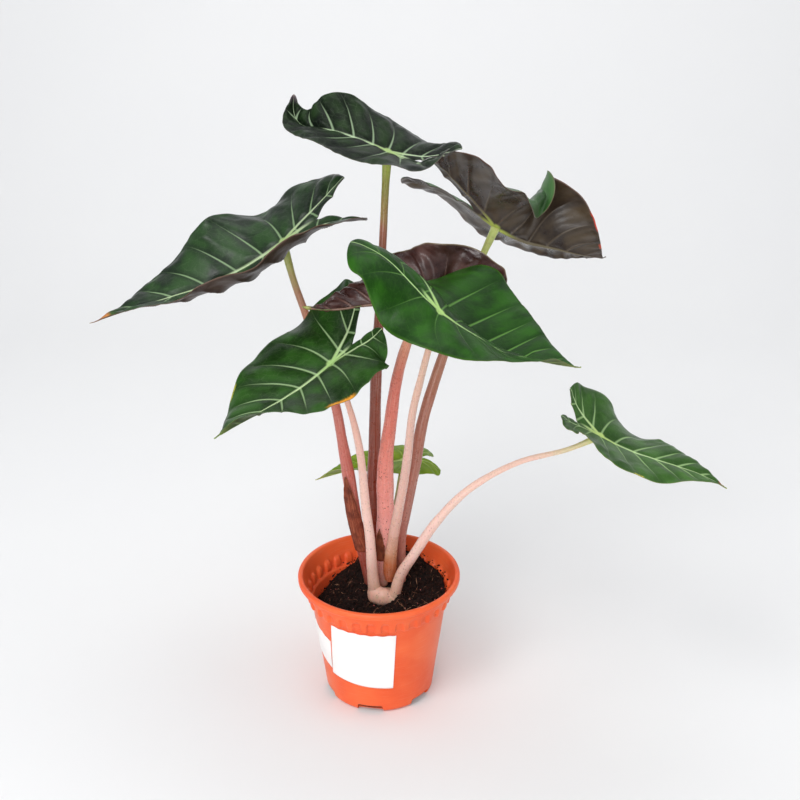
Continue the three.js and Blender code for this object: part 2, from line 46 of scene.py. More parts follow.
CAMERA_PLACE = (19.5, -1041.4, 755.2)
CAMERA_PITCH_DOWN = 23.8
CAMERA_LENS = 58.5
CAMERA_SENSOR = 36
CAMERA_REACH = 50
SKY_COLOUR = (0.93, 0.95, 1.0, 1)
SKY_STRENGTH = 0.51

# Disc lights, in metres and watts: name, place, what it aims at, diameter and power
LIGHTS = (
    ("key", (-0.8, -1.1, 1.8), (0, 0, 0.2), 0.9, 16.5),
    ("front", (-0.4, -2.0, 0.85), (0, 0, 0.2), 1.2, 18),
    ("side", (1.4, -0.2, 1.3), (0, 0, 0.2), 1.0, 3),
    ("top", (0.3, -0.1, 2.2), (0, 0, 0.2), 1.6, 5),
    ("backdrop", (0.1, 0.5, 1.7), (0.1, 1.6, 0.25), 1.4, 7.2),
)


def add_camera():
    data = bpy.data.cameras.new("camera")
    data.lens = CAMERA_LENS
    data.sensor_width = CAMERA_SENSOR
    data.clip_end = CAMERA_REACH
    camera = bpy.data.objects.new("camera", data)
    camera.location = [value * MM for value in CAMERA_PLACE]
    camera.rotation_euler = (math.radians(90 - CAMERA_PITCH_DOWN), 0, 0)
    bpy.context.scene.collection.objects.link(camera)
    bpy.context.scene.camera = camera


def add_area_light(name, place, aim, size, power):
    data = bpy.data.lights.new(name, "AREA")
    data.shape = "DISK"
    data.size = size
    data.energy = power
    light = bpy.data.objects.new(name, data)
    light.location = place
    direction = np.array(aim) - np.array(place)
    pan = math.atan2(-direction[0], direction[1])
    tilt = math.atan2(math.hypot(direction[0], direction[1]), -direction[2])
    light.rotation_euler = (tilt, 0, pan)
    bpy.context.scene.collection.objects.link(light)


def add_world():
    world = bpy.data.worlds.new("studio")
    world.use_nodes = True
    background = world.node_tree.nodes["Background"]
    background.inputs["Color"].default_value = SKY_COLOUR
    background.inputs["Strength"].default_value = SKY_STRENGTH
    bpy.context.scene.world = world


# Shader building

def tone(code):
    """A colour written as on screen, such as 'f96e4a', as the linear values that Blender wants."""
    values = [int(code[i:i + 2], 16) / 255 for i in (0, 2, 4)]
    linear = [v / 12.92 if v <= 0.04045 else ((v + 0.055) / 1.055) ** 2.4 for v in values]
    return (*linear, 1)


class Shader:
    """A principled material with short calls for the nodes that feed it."""

    def __init__(self, name):
        self.material = bpy.data.materials.new(name)
        self.material.use_nodes = True
        self.tree = self.material.node_tree
        self.surface = self.tree.nodes["Principled BSDF"]

    def _feed(self, socket, value):
        if isinstance(value, bpy.types.NodeSocket):
            self.tree.links.new(value, socket)
        elif value is not None:
            socket.default_value = value

    def _node(self, kind, values=(), **settings):
        """Adds a node. values feed its inputs, in their order or by their names."""
        node = self.tree.nodes.new(kind)
        for key, value in settings.items():
            setattr(node, key, value)
        for key, value in values.items() if isinstance(values, dict) else enumerate(values):
            self._feed(node.inputs[key], value)
        return node

    def place(self):
        return self._node("ShaderNodeTexCoord").outputs["Object"]

    def attribute(self, name):
        return self._node("ShaderNodeAttribute", attribute_name=name).outputs["Vector"]

    def split(self, vector):
        return tuple(self._node("ShaderNodeSeparateXYZ", [vector]).outputs)

    def join(self, x, y, z):
        return self._node("ShaderNodeCombineXYZ", (x, y, z)).outputs[0]

    def stretch(self, vector, factors):
        return self._node("ShaderNodeVectorMath", (vector, factors), operation="MULTIPLY").outputs[0]

    def math(self, operation, a, b=None, c=None):
        return self._node("ShaderNodeMath", (a, b, c), operation=operation).outputs[0]

    def times(self, a, b):
        return self.math("MULTIPLY", a, b)

    def fade(self, value, low, high, to_low=0.0, to_high=1.0):
        """to_low below low, to_high above high and smooth between. low may be above high."""
        entries = (value, low, high, to_low, to_high)
        node = self._node("ShaderNodeMapRange", entries, interpolation_type="SMOOTHSTEP", clamp=True)
        return node.outputs[0]

    def mix(self, amount, a, b):
        node = self._node("ShaderNodeMix", {"Factor": amount}, data_type="RGBA")
        for socket, value in zip([s for s in node.inputs if s.type == "RGBA"], (a, b)):
            self._feed(socket, value)
        return [socket for socket in node.outputs if socket.type == "RGBA"][0]

    def tint(self, shade, code, value, low, high, most=1.0):
        """Mixes a colour in as a value goes from low to high, up to a share of most."""
        return self.mix(self.fade(value, low, high, 0, most), shade, tone(code))

    def noise(self, vector, scale, detail=4.0, roughness=0.55, distortion=0.0):
        values = {"Vector": vector, "Scale": scale, "Detail": detail, "Roughness": roughness}
        return self._node("ShaderNodeTexNoise", {**values, "Distortion": distortion}).outputs[0]

    def streaks(self, along, around, factors, scale, detail, depth=0):
        """Noise drawn out along a piece; factors are how fast it changes along and around."""
        run, turn = self.times(along, factors[0]), self.times(around, factors[1])
        return self.noise(self.join(run, turn, depth), scale, detail)

    def cells(self, vector, scale, feature="F1"):
        values = {"Vector": vector, "Scale": scale}
        return self._node("ShaderNodeTexVoronoi", values, feature=feature).outputs["Distance"]

    def ramp(self, value, stops):
        node = self._node("ShaderNodeValToRGB", [value])
        elements = node.color_ramp.elements
        while len(elements) < len(stops):
            elements.new(0.5)
        for element, (position, code) in zip(elements, stops):
            element.position = position
            element.color = tone(code)
        return node.outputs[0]

    def bump(self, height, distance, strength=1.0, normal=None):
        values = {"Height": height, "Distance": distance, "Strength": strength, "Normal": normal}
        return self._node("ShaderNodeBump", values).outputs[0]

    def finish(self, **inputs):
        for key, value in inputs.items():
            self._feed(self.surface.inputs[key.replace("_", " ")], value)
        return self.material


# Mesh building

def add_piece(name, points, faces, materials, face_materials=None, attributes=None, smooth=True):
    """Adds one mesh. points are in millimetres, attributes maps a name to a vector per point."""
    mesh = bpy.data.meshes.new(name)
    mesh.from_pydata((np.asarray(points) * MM).tolist(), [], [list(face) for face in faces])
    for material in materials:
        mesh.materials.append(material)
    if face_materials is not None:
        mesh.polygons.foreach_set("material_index", np.asarray(face_materials, dtype=np.int32))
    for key, values in (attributes or {}).items():
        layer = mesh.attributes.new(key, "FLOAT_VECTOR", "POINT")
        layer.data.foreach_set("vector", np.asarray(values, dtype=np.float32).ravel())
    mesh.polygons.foreach_set("use_smooth", np.full(len(mesh.polygons), smooth))
    mesh.update()
    piece = bpy.data.objects.new(name, mesh)
    bpy.context.scene.collection.objects.link(piece)
    return piece


def stand_for(piece, slot, *nodes):
    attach(piece, "root")
    if nodes:
        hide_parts(*nodes)


def grid_faces(rows, columns, wrap=False):
    """Quads of a grid whose points are stored row by row; wrap joins the last column to the first."""
    spans = columns if wrap else columns - 1
    row, column = np.meshgrid(np.arange(rows - 1), np.arange(spans), indexing="ij")
    here, above = row.ravel() * columns, (row.ravel() + 1) * columns
    column = column.ravel()
    beside = (column + 1) % columns
    return np.stack([here + column, here + beside, above + beside, above + column], axis=1)


def tube_faces(rows, sides):
    """A closed tube's faces. Two points after the rows close the first row and the last one."""
    faces = grid_faces(rows, sides, wrap=True).tolist()
    start, end = rows * sides, rows * sides + 1
    last = (rows - 1) * sides
    for k in range(sides):
        beside = (k + 1) % sides
        faces.append([start, beside, k])
        faces.append([end, last + k, last + beside])
    return faces


def round_points(angles, radius, height):
    """Points round the pot's axis, from angles, radii and heights that broadcast together."""
    parts = (radius * np.cos(angles), radius * np.sin(angles), height)
    return np.stack(np.broadcast_arrays(*parts), axis=-1)


def add_part(points, faces, more, more_faces):
    """Adds one closed part to the lists of points and faces of a piece."""
    start = len(points)
    points.extend(more.tolist())
    faces.extend([[corner + start for corner in face] for face in more_faces])


def rotation(angle, axis):
    """The matrix that turns about an axis: 0 for x, 1 for y and 2 for z."""
    matrix = np.eye(3)
    a, b = (axis + 1) % 3, (axis + 2) % 3
    matrix[a, a] = matrix[b, b] = math.cos(angle)
    matrix[a, b], matrix[b, a] = -math.sin(angle), math.sin(angle)
    return matrix


def point_normals(points, faces):
    """Area-weighted normals of a quad or triangle mesh."""
    normals = np.zeros_like(points)
    a, b, c, d = (points[faces[:, k]] for k in range(4))
    across = np.cross(c - a, d - b)
    for k in range(4):
        np.add.at(normals, faces[:, k], across)
    lengths = np.linalg.norm(normals, axis=1, keepdims=True)
    return normals / np.maximum(lengths, 1e-12)


def weld(points, faces, decimals=3):
    """Joins points that lie together. Returns the kept indices and the new faces."""
    keys = np.round(points, decimals)
    _, kept, renamed = np.unique(keys, axis=0, return_index=True, return_inverse=True)
    order = np.argsort(kept)
    rank = np.empty_like(order)
    rank[order] = np.arange(len(order))
    renamed = rank[renamed.ravel()]
    return kept[order], renamed[faces]


def drop_doubled_corners(face):
    kept = [corner for k, corner in enumerate(face) if corner != face[k - 1]]
    return kept if len(set(kept)) == len(kept) and len(kept) > 2 else None


def sheet_shell(points, faces, up, down):
    """A closed shell round a welded sheet: up and down are distances along the normals, per point."""
    normals = point_normals(points, faces)
    count = len(points)
    top = points + normals * np.asarray(up).reshape(-1, 1)
    under = points - normals * np.asarray(down).reshape(-1, 1)
    clean = [drop_doubled_corners(face) for face in faces.tolist()]
    kept = [face for face in clean if face]
    edges = {}
    for face in kept:
        for k, corner in enumerate(face):
            edge = (face[k - 1], corner)
            if (edge[1], edge[0]) in edges:
                del edges[(edge[1], edge[0])]
            else:
                edges[edge] = True
    shell = [list(face) for face in kept]
    shell += [[corner + count for corner in reversed(face)] for face in kept]
    shell += [[b, a, a + count, b + count] for a, b in edges]
    kinds = [0] * len(kept) + [1] * len(kept) + [1] * len(edges)
    return np.vstack([top, under]), shell, kinds


def waviness(x, y, scale, seed):
    """A smooth pseudo-random field between about -1 and 1, from a few crossed waves."""
    value = 0
    for k in range(1, 5):
        turn = seed * 1.7 + k * 2.4
        aim = math.cos(turn) * x + math.sin(turn * 1.3) * y
        value = value + np.sin(aim * scale * (0.7 + 0.33 * k) + turn * 5) / 4
    return value


def smoothstep(value):
    t = np.clip(value, 0, 1)
    return t * t * (3 - 2 * t)


def growing(measure, share):
    """measure is a pair: its least value, and how much more it is where share is 1."""
    return measure[0] + measure[1] * share


# The pot

POT_HEIGHT = 122
RIM_RADIUS = 75
POT_FLOOR = 2.2
BAND_FOOT = 97
FLUTES = 32
FLUTE_DEPTH = 2.6
ARCH_START = 103.8
ARCH_HEIGHT = 3.4
NOTCHES = 6
NOTCH_WIDTH = 24
NOTCH_HEIGHT = 7
FIRST_NOTCH = -99.5
NOTCH_CORNER = 2.2
NOTCH_CUT = (44, 56)
POT_SECTORS = 576
POT_LONGEST_STEP = 3.2
POT_WARP = 0.25
POT_ROUGHNESS = 0.38
# Three of these colours are painted shade: those of the flute floors, the flute walls and the inner wall.
POT_COLOURS = {
    "body": "f76c3a", "cloud": "ef5c2e", "pressed": "e24416", "flute_side_shade": "9c2810", "inside": "d00c00",
    "streak": "ffb090", "dust": "ffd9c4",
}

# Shares of half the flutes' spacing: a rib's half width, how much it widens in the arch, how wide the
# slope beside it is and how far that slope reaches into the rib
RIB_HALF_WIDTH = 0.38
RIB_WIDENING = 0.16
FLUTE_SLOPE = 0.26
FLUTE_EASE = 0.04

# The section as [radius, height, how far the flutes press in]
POT_OUTSIDE = [
    (46.5, 0, 0), (47.7, 0.1, 0), (48.9, 0.9, 0), (50.5, 3, 0), (52.4, 18, 0), (54.2, 32, 0),
    (56.1, 46, 0), (58.0, 60, 0), (59.8, 74, 0), (61.5, 87, 0), (62.5, 95.2, 0), (63.1, 96.1, 0),
    (65.6, 96.7, 0.95), (66.2, 97.2, 1), (66.6, 98.6, 1), (67.2, 101.4, 1), (67.7, 104.3, 1),
    (67.9, 105.4, 0.97), (68.1, 106.4, 0.8), (68.25, 107.2, 0.45), (68.4, 107.9, 0.1),
    (68.6, 109, 0), (69.1, 112, 0), (69.4, 114.3, 0), (69.9, 115.3, 0), (71.6, 115.8, 0),
    (73.6, 116, 0), (74.6, 116.5, 0), (RIM_RADIUS, 117.6, 0), (RIM_RADIUS, 119, 0),
    (RIM_RADIUS, 120.4, 0), (74.6, 121.4, 0), (73.7, 121.9, 0), (72.6, POT_HEIGHT, 0),
    (71.5, POT_HEIGHT, 0), (70.8, 121.6, 0),
    (70.3, 120.6, 0), (69.2, 117, 0), (67.8, 112, 0), (67.0, 109, 0), (66.7, 107.9, 0.1),
    (66.5, 107.2, 0.5), (66.2, 106, 0.85), (66.0, 104, 1), (65.6, 101.5, 1), (65.1, 99.2, 1),
    (64.6, 98.3, 0.6), (63.4, 97.4, 0.1), (61.8, 96.8, 0), (61.1, 95.6, 0), (59.9, 86, 0),
    (58.2, 72, 0), (55.6, 52, 0), (53.0, 32, 0), (50.4, 14, 0), (49, 5, 0), (48.2, 3.1, 0),
    (46.8, POT_FLOOR, 0),
]
POT_WALL_HEIGHTS = (0, 3, BAND_FOOT - 1)
POT_WALL_RADII = (48, 50.5, 62.6)


def wall_radius(height):
    return np.interp(height, POT_WALL_HEIGHTS, POT_WALL_RADII)


def flute_press(angle, height):
    """How far a flute is pressed in at an angle: 1 on its floor and 0 on the rib, round at its top."""
    place = np.abs(((angle / ROUND * FLUTES + 0.5) % 1) - 0.5) * 2
    half_width = RIB_HALF_WIDTH + RIB_WIDENING * smoothstep((height - ARCH_START) / ARCH_HEIGHT) ** 2
    return smoothstep((place - half_width + FLUTE_EASE) / FLUTE_SLOPE)


def refine(section, longest):
    """Splits the long steps of a section so that none is longer than the given length."""
    rows = [section[0]]
    for before, after in zip(section, section[1:]):
        steps = max(1, math.ceil(math.dist(before[:2], after[:2]) / longest))
        for k in range(1, steps + 1):
            rows.append(tuple(a + (b - a) * k / steps for a, b in zip(before, after)))
    return rows


def plastic(name, colours, rough):
    shader = Shader(name)
    place = shader.place()
    press, inward, _ = shader.split(shader.attribute("pot_place"))
    cloud = shader.noise(place, 22, 3)
    streaks = shader.noise(shader.stretch(place, (60, 60, 900)), 1.0, 3)
    shade = shader.mix(shader.fade(cloud, 0.35, 0.7), tone(colours["body"]), tone(colours["cloud"]))
    # Painted shade: the flutes' recessed floors are mixed toward a darker orange.
    shade = shader.tint(shade, colours["pressed"], press, 0.2, 1, 0.75)
    # Painted shade: the flutes' side walls, where press lies between 0 and 1, are mixed toward a dark red.
    slope = shader.times(shader.math("SUBTRACT", 1.0, press), press)
    shade = shader.tint(shade, colours["flute_side_shade"], slope, 0.02, 0.2, 0.75)
    # Painted shade: from the rim's crest inwards, the inner wall is mixed toward a deeper red.
    shade = shader.tint(shade, colours["inside"], inward, 0.2, 0.8)
    shade = shader.tint(shade, colours["streak"], streaks, 0.5, 0.8, 0.12)
    shade = shader.tint(shade, colours["dust"], shader.noise(place, 900, 2, 0.7), 0.68, 0.78, 0.25)
    grain = shader.bump(shader.noise(place, 1400, 3), 0.00012, 0.5)
    return shader.finish(
        Base_Color=shade,
        Roughness=shader.fade(cloud, 0.3, 0.75, rough - 0.05, rough + 0.09),
        Normal=shader.bump(streaks, 0.00016, 0.4, grain),
        Subsurface_Weight=0.12,
        Subsurface_Scale=0.004,
        Specular_IOR_Level=0.3,
    )


def add_pot():
    rows = refine(POT_OUTSIDE, POT_LONGEST_STEP)
    angles = np.arange(POT_SECTORS) * ROUND / POT_SECTORS
    radius, height, pressed = (np.array(column)[:, None] for column in zip(*rows))
    press = flute_press(angles[None, :], height) * pressed
    warp = POT_WARP * np.sin(2 * angles + 0.6) * smoothstep(height / POT_HEIGHT)
    reach = radius - press * FLUTE_DEPTH + warp * (height > NOTCH_HEIGHT + 1)
    points = round_points(angles, reach, height).reshape(-1, 3)
    points = np.vstack([points, [[0, 0, 0], [0, 0, POT_FLOOR]]])
    crest = int(np.argmax(radius * (height > POT_HEIGHT - 1)))
    # inward goes from 0 at the rim's crest to 1 inside the pot, for the inner wall's painted shade.
    inward = smoothstep((np.arange(len(rows))[:, None] - crest) / 3) * np.ones_like(reach)
    # press sets the flutes' depth and also their painted shade; inward sets the painted shade of the inner
    # wall.
    place = np.zeros((len(points), 3))
    place[:, 0] = np.concatenate([press.ravel(), [0, 0]])
    place[:, 1] = np.concatenate([inward.ravel(), [0, 1]])
    skin = plastic("orange_plastic", POT_COLOURS, POT_ROUGHNESS)
    piece = add_piece(
        "pot_shell", points, tube_faces(len(rows), POT_SECTORS), [skin], attributes={"pot_place": place},
    )
    cut_notches(piece)
    stand_for(piece, "pot_plastic", "pot")


def cut_notches(piece):
    points, faces = [], []
    outline = notch_outline()
    count = len(outline)
    sides = grid_faces(2, count, wrap=True).tolist()
    block_faces = [list(range(count))[::-1], list(range(count, 2 * count)), *sides]
    for k in range(NOTCHES):
        turn = math.radians(FIRST_NOTCH + 360 / NOTCHES * k)
        c, s = math.cos(turn), math.sin(turn)
        block = [
            (reach * c - across * s, reach * s + across * c, height)
            for reach in NOTCH_CUT for across, height in outline
        ]
        add_part(points, faces, np.array(block), block_faces)
    cutter = add_piece("notch_cutter", points, faces, [], smooth=False)
    tool = piece.modifiers.new("notches", "BOOLEAN")
    tool.operation = "DIFFERENCE"
    tool.solver = "EXACT"
    tool.object = cutter
    bake_modifiers(piece)
    bpy.data.objects.remove(cutter)


def notch_outline(steps=5):
    """A notch in the foot: straight sides and rounded upper corners, as (across, height)."""
    half = NOTCH_WIDTH / 2
    outline = [(-half, -4), (half, -4)]
    for centre, start in ((half - NOTCH_CORNER, 0), (NOTCH_CORNER - half, 90)):
        for k in range(steps + 1):
            angle = math.radians(start + 90 * k / steps)
            height = NOTCH_HEIGHT - NOTCH_CORNER + NOTCH_CORNER * math.sin(angle)
            outline.append((centre + NOTCH_CORNER * math.cos(angle), height))
    return outline


def bake_modifiers(piece):
    graph = bpy.context.evaluated_depsgraph_get()
    shaped = piece.evaluated_get(graph)
    mesh = bpy.data.meshes.new_from_object(shaped, preserve_all_data_layers=True, depsgraph=graph)
    piece.modifiers.clear()
    old = piece.data
    piece.data = mesh
    bpy.data.meshes.remove(old)


# Courses of the stalks

# [x, y, height, radius] from the foot up to the blade
STALKS = {
    "petiole_1": [
        (-10, 20, 98, 4.2), (-15, 17, 131, 5.2), (-21, 15, 165, 6.1), (-27, 15, 212, 5.9),
        (-32, 17, 244, 4.9), (-38, 18, 283, 4.2), (-49, 20, 325, 3.8), (-62, 21, 367, 3.3),
        (-72, 22, 399, 3.0), (-80, 25, 432, 3.6),
    ],
    "petiole_2": [
        (-5, 30, 100, 4.8), (-5, 26, 141, 5.2), (-6, 24, 197, 5.6), (-4, 23, 230, 5.5),
        (-2, 25, 300, 5.2), (1, 29, 360, 4.2), (5, 36, 433, 3.2), (7, 40, 473, 3.2),
        (9, 40, 506, 4.2),
    ],
    "petiole_3": [
        (21, 19, 100, 4.0), (21, 19, 150, 4.7), (26, 22, 180, 5.3), (33, 29, 216, 5.4),
        (40, 37, 257, 5.3), (50, 46, 291, 5.0), (67, 60, 339, 4.1), (83, 72, 377, 3.3),
        (95, 79, 406, 3.1), (105, 80, 429, 4.0),
    ],
    "petiole_4": [
        (2, 17, 98, 5.8), (4, 15, 144, 6.8), (6, 14, 175, 8.0), (6, 11, 203, 8.0), (7, 4, 239, 6.8),
        (11, -4, 275, 5.6), (16, -12, 316, 5.0), (23, -22, 350, 4.3), (31, -32, 376, 3.7),
        (43, -40, 402, 3.8),
    ],
    "petiole_5": [
        (-4, 1, 99, 6.6), (-6, -2, 121, 5.0), (-8, -7, 163, 4.5), (-11, -10, 192, 4.2),
        (-15, -18, 250, 3.5), (-20, -25, 284, 3.0), (-25, -29, 306, 2.6), (-30, -34, 326, 2.4),
        (-38, -37, 345, 3.2),
    ],
    "petiole_6": [
        (10, 6, 110, 4.6), (10, 5, 118, 6.4), (10.5, 3, 131, 6.2), (13, -3, 157, 5.0),
        (17, -15, 188, 4.4), (22, -28, 224, 4.1), (26, -46, 264, 3.7), (30, -70, 316, 3.2),
        (36, -89, 353, 2.9), (42, -107, 387, 2.6), (52, -122, 427, 3.2),
    ],
    "petiole_7": [
        (14, -6, 99, 5.4), (20, -7, 122, 5.0), (32, -14, 148, 4.7), (52, -28, 190, 4.2),
        (80, -48, 234, 3.2), (119, -64, 267, 2.4), (159, -70, 282, 2.0), (185, -70, 294, 2.8),
    ],
    "petiole_8": [
        (12, 30, 100, 3.2), (13, 33, 133, 3.2), (15, 43, 160, 3.0), (19, 61, 180, 2.6),
        (23, 79, 198, 3.0),
    ],
}


def course_points(course, shares):
    """Centres and radii at shares 0 to 1 of a course, on a centripetal Catmull-Rom curve."""
    knots = np.array([point[:3] for point in course], dtype=float)
    knots = np.vstack([2 * knots[0] - knots[1], knots, 2 * knots[-1] - knots[-2]])
    last = len(course) - 1
    place = np.clip(np.asarray(shares, dtype=float), 0, 1) * last
    low = np.minimum(place.astype(int), last - 1)
    t = (place - low)[:, None]
    corners = [knots[low + k] for k in range(4)]
    steps = [b - a for a, b in zip(corners, corners[1:])]
    gaps = [np.linalg.norm(step, axis=1, keepdims=True) ** 0.5 for step in steps]
    leave, arrive = (
        (
            steps[k] / gaps[k] - (corners[k + 2] - corners[k]) / (gaps[k] + gaps[k + 1])
            + steps[k + 1] / gaps[k + 1]
        ) * gaps[1]
        for k in (0, 1)
    )
    centres = (
        corners[1] + leave * t + (3 * steps[1] - 2 * leave - arrive) * t ** 2
        + (-2 * steps[1] + leave + arrive) * t ** 3
    )
    radii = np.interp(place, np.arange(last + 1), [point[3] for point in course])
    return centres, radii


def carried_frames(centres):
    """Two directions across a path at each of its points, which don't twist along the way."""
    tangents = np.gradient(centres, axis=0)
    tangents /= np.linalg.norm(tangents, axis=1, keepdims=True)
    across = np.cross(tangents[0], (0, 1, 0))
    across /= np.linalg.norm(across)
    sideways = []
    for tangent in tangents:
        across = across - tangent * np.dot(across, tangent)
        across /= np.linalg.norm(across)
        sideways.append(across)
    sideways = np.array(sideways)
    return sideways, np.cross(tangents, sideways)


def rings_round(path, angles, reach):
    """Rings of points round a path. reach is the radius, per row or per row and angle."""
    across, around = carried_frames(path)
    return (
        path[:, None] + across[:, None] * (np.cos(angles) * reach)[..., None]
        + around[:, None] * (np.sin(angles) * reach)[..., None]
    ).reshape(-1, 3)


def soften(values, passes):
    for _ in range(passes):
        values[1:-1] = (values[:-2] + 2 * values[1:-1] + values[2:]) / 4
    return values


# Blades

# Each is drawn flat, x along the midrib and y across it, then bent. Lists of five run from the lobe
# tips through the stalk, one third and two thirds to the tip.
STATIONS = (-1, 0, 1 / 3, 2 / 3, 1)
SINUS_START = 0.2
LOBE_TIP = 0.42

BLADES = {
    "leaf_1": dict(
        heading=191, pitch=-17, roll=-15, length=173, lobes=72, width=59, sweep=9, twist=8,
        arch=(-3, -19, -6, 7, 4), waves=2.2,
        left=dict(fold=(0, -14, -20, 1, 28), curl=(69, 85, 111, 87, 33), droop=30, wave=11, phase=130),
        right=dict(fold=(17, 14, 38, 11, -14), curl=(-18, -23, -1, -4, -13), droop=-13, wave=15, phase=-146),
    ),
    "leaf_2": dict(
        heading=167, pitch=7, roll=2, length=112, lobes=63, width=52, sweep=-50, twist=7,
        arch=(-7, 13, 7, -9, 5), waves=1.9,
        hook=dict(start=0.62, turn=88),
        left=dict(fold=(6, 0, -9, -4, -12), curl=(-9, 3, 2, 3, -1), droop=-44, wave=9, phase=-151),
        right=dict(fold=(20, 24, 38, 65, 50), curl=(-18, -24, -22, -12, -4), droop=-16, wave=6, phase=63),
    ),
    "leaf_3": dict(
        heading=-3, pitch=-31, roll=-64, length=120, lobes=85, width=77, sweep=6, twist=6,
        arch=(4, -5, 26, 28, 40), waves=1.5,
        flap=dict(side="right", place=0.2, width=0.13, start=0.5, turn=-140),
        left=dict(fold=(59, 51, 38, 30, 13), curl=(-35, -16, -2, 3, -5), droop=15, wave=8, phase=-75),
        right=dict(fold=(1, -3, 63, 22, -8), curl=(-28, -25, 8, -1, -12), droop=9, wave=10, phase=-58),
    ),
    "leaf_4": dict(
        heading=185, pitch=-13, roll=16, length=100, lobes=58, width=47, sweep=-4, twist=16,
        arch=(9, 9, 10, 6, 25), waves=2.3,
        left=dict(fold=(59, 84, 93, 104, 129), curl=(-4, 23, 56, 86, 122), droop=23, wave=14, phase=7),
        right=dict(fold=(20, 40, 25, 8, 0), curl=(-17, 5, 38, 35, 30), droop=0, wave=3, phase=44),
    ),
    "leaf_5": dict(
        heading=222, pitch=-16, roll=-24, length=126, lobes=68, width=62, sweep=6, twist=53,
        arch=(-20, -15, 4, 14, 11), waves=2.7,
        left=dict(fold=(18, 35, 14, 7, 48), curl=(9, -6, -3, -5, -15), droop=-73, wave=5, phase=132),
        right=dict(fold=(2, 1, 12, 7, 5), curl=(-25, -28, -11, -7, -9), droop=-48, wave=9, phase=-21),
    ),
    "leaf_6": dict(
        heading=-17, pitch=-27, roll=-4, length=112, lobes=78, width=84, sweep=1, twist=-19,
        arch=(10, -17, -1, 18, 24), waves=1.8,
        left=dict(fold=(-75, 3, 22, 29, 29), curl=(-19, 13, 5, -13, -7), droop=70, wave=8, phase=49),
        right=dict(fold=(54, 36, 20, 2, 27), curl=(-145, -93, -34, -14, -4), droop=4, wave=13, phase=54),
    ),
    "leaf_7": dict(
        heading=-17, pitch=-19, roll=12, length=109, lobes=44, width=52, sweep=10, twist=-9,
        arch=(-8, -8, 6, 4, -17), waves=1.9,
        left=dict(fold=(15, 5, -6, 2, 3), curl=(-12, -26, -29, -19, -10), droop=-29, wave=14, phase=148),
        right=dict(fold=(15, 30, 17, 15, 13), curl=(10, -2, -11, -11, -11), droop=-36, wave=12, phase=-125),
    ),
    "leaf_8": dict(
        heading=182, pitch=-12, roll=-8, length=85, lobes=35, width=39, sweep=-1, twist=19,
        arch=(7, 3, 1, -2, -10), waves=2,
        left=dict(fold=(6, 19, 22, 30, 42), curl=(-12, -6, -6, -8, -8), droop=38, wave=4, phase=-59),
        right=dict(fold=(-6, -2, 6, 13, 21), curl=(-21, -23, -17, -12, -10), droop=51, wave=5, phase=63),
    ),
}
for blade_name, blade_shape in BLADES.items():
    blade_shape["at"] = STALKS[blade_name.replace("leaf", "petiole")][-1][:3]


def between(values, place):
    """A smooth curve through the five stations."""
    u = np.clip(place, -1, 1)
    stations = np.array(STATIONS)
    values = np.array(values, dtype=float)
    last = len(stations) - 1
    before = np.maximum(np.arange(last + 1) - 1, 0)
    after = np.minimum(np.arange(last + 1) + 1, last)
    slopes = (values[after] - values[before]) / (stations[after] - stations[before])
    k = np.clip(np.searchsorted(stations, u, side="right") - 1, 0, last - 1)
    span = stations[k + 1] - stations[k]
    t = (u - stations[k]) / span
    return (
        (2 * t ** 3 - 3 * t ** 2 + 1) * values[k] + (t ** 3 - 2 * t ** 2 + t) * span * slopes[k]
        + (3 * t ** 2 - 2 * t ** 3) * values[k + 1] + (t ** 3 - t ** 2) * span * slopes[k + 1]
    )


def outer_margin(blade, x):
    u = np.clip(x / blade["length"], 0, 1)
    v = np.clip(-x / blade["lobes"], 0, 1)
    front = np.maximum(0, np.cos(math.pi / 2 * u ** 1.25)) ** 1.15
    fuller = 1 + 0.35 * smoothstep((v - 0.7) / 0.25)
    back = LOBE_TIP + (1 - LOBE_TIP) * np.maximum(0, 1 - v ** 2.2) ** 0.6 * fuller
    return blade["width"] * np.where(x >= 0, front, back)


def inner_margin(blade, x):
    join = SINUS_START * blade["length"]
    v = np.clip((-x - join) / (blade["lobes"] - join), 0, 1)
    return blade["width"] * LOBE_TIP * (0.7 * v ** 0.8 + 0.3 * (1 - np.sqrt(1 - v ** 3)))


def along_blade(blade, x):
    return np.where(x >= 0, x / blade["length"], x / blade["lobes"])


SPINE_STEPS = 48
FOLD_STEPS = 24


def spine(blade, side, x):
    """For each x on the midrib: where it is, and the two directions across it."""
    join = SINUS_START * blade["length"] / blade["lobes"]
    hook = blade.get("hook")

    def slope_at(u):
        t = np.clip((-u - join) / (1 - join), 0, 1)
        slope = between(blade["arch"], u) + blade[side]["droop"] * t * (2 - t)
        if hook:
            slope = slope + hook["turn"] * smoothstep((u - hook["start"]) / (1 - hook["start"]))
        return np.radians(slope)

    def sweep_at(u):
        return np.where(u > 0, math.radians(blade["sweep"]) * u * u, 0)

    steps = (np.arange(SPINE_STEPS) + 0.5) / SPINE_STEPS
    u = along_blade(blade, x[:, None] * steps)
    slope, sweep = slope_at(u), sweep_at(u)
    direction = np.stack(
        [np.cos(slope) * np.cos(sweep), np.cos(slope) * np.sin(sweep), np.sin(slope)], axis=2,
    )
    origin = direction.mean(axis=1) * x[:, None]
    u = along_blade(blade, x)
    slope, sweep = slope_at(u), sweep_at(u)
    turn = np.radians(np.where(u > 0, blade["twist"] * u, 0))[:, None]
    across = np.stack([-np.sin(sweep), np.cos(sweep), np.zeros_like(u)], axis=1)
    up = np.stack(
        [-np.sin(slope) * np.cos(sweep), -np.sin(slope) * np.sin(sweep), np.cos(slope)], axis=1,
    )
    twisted = across * np.cos(turn) + up * np.sin(turn)
    return u, origin, twisted, up * np.cos(turn) - across * np.sin(turn)


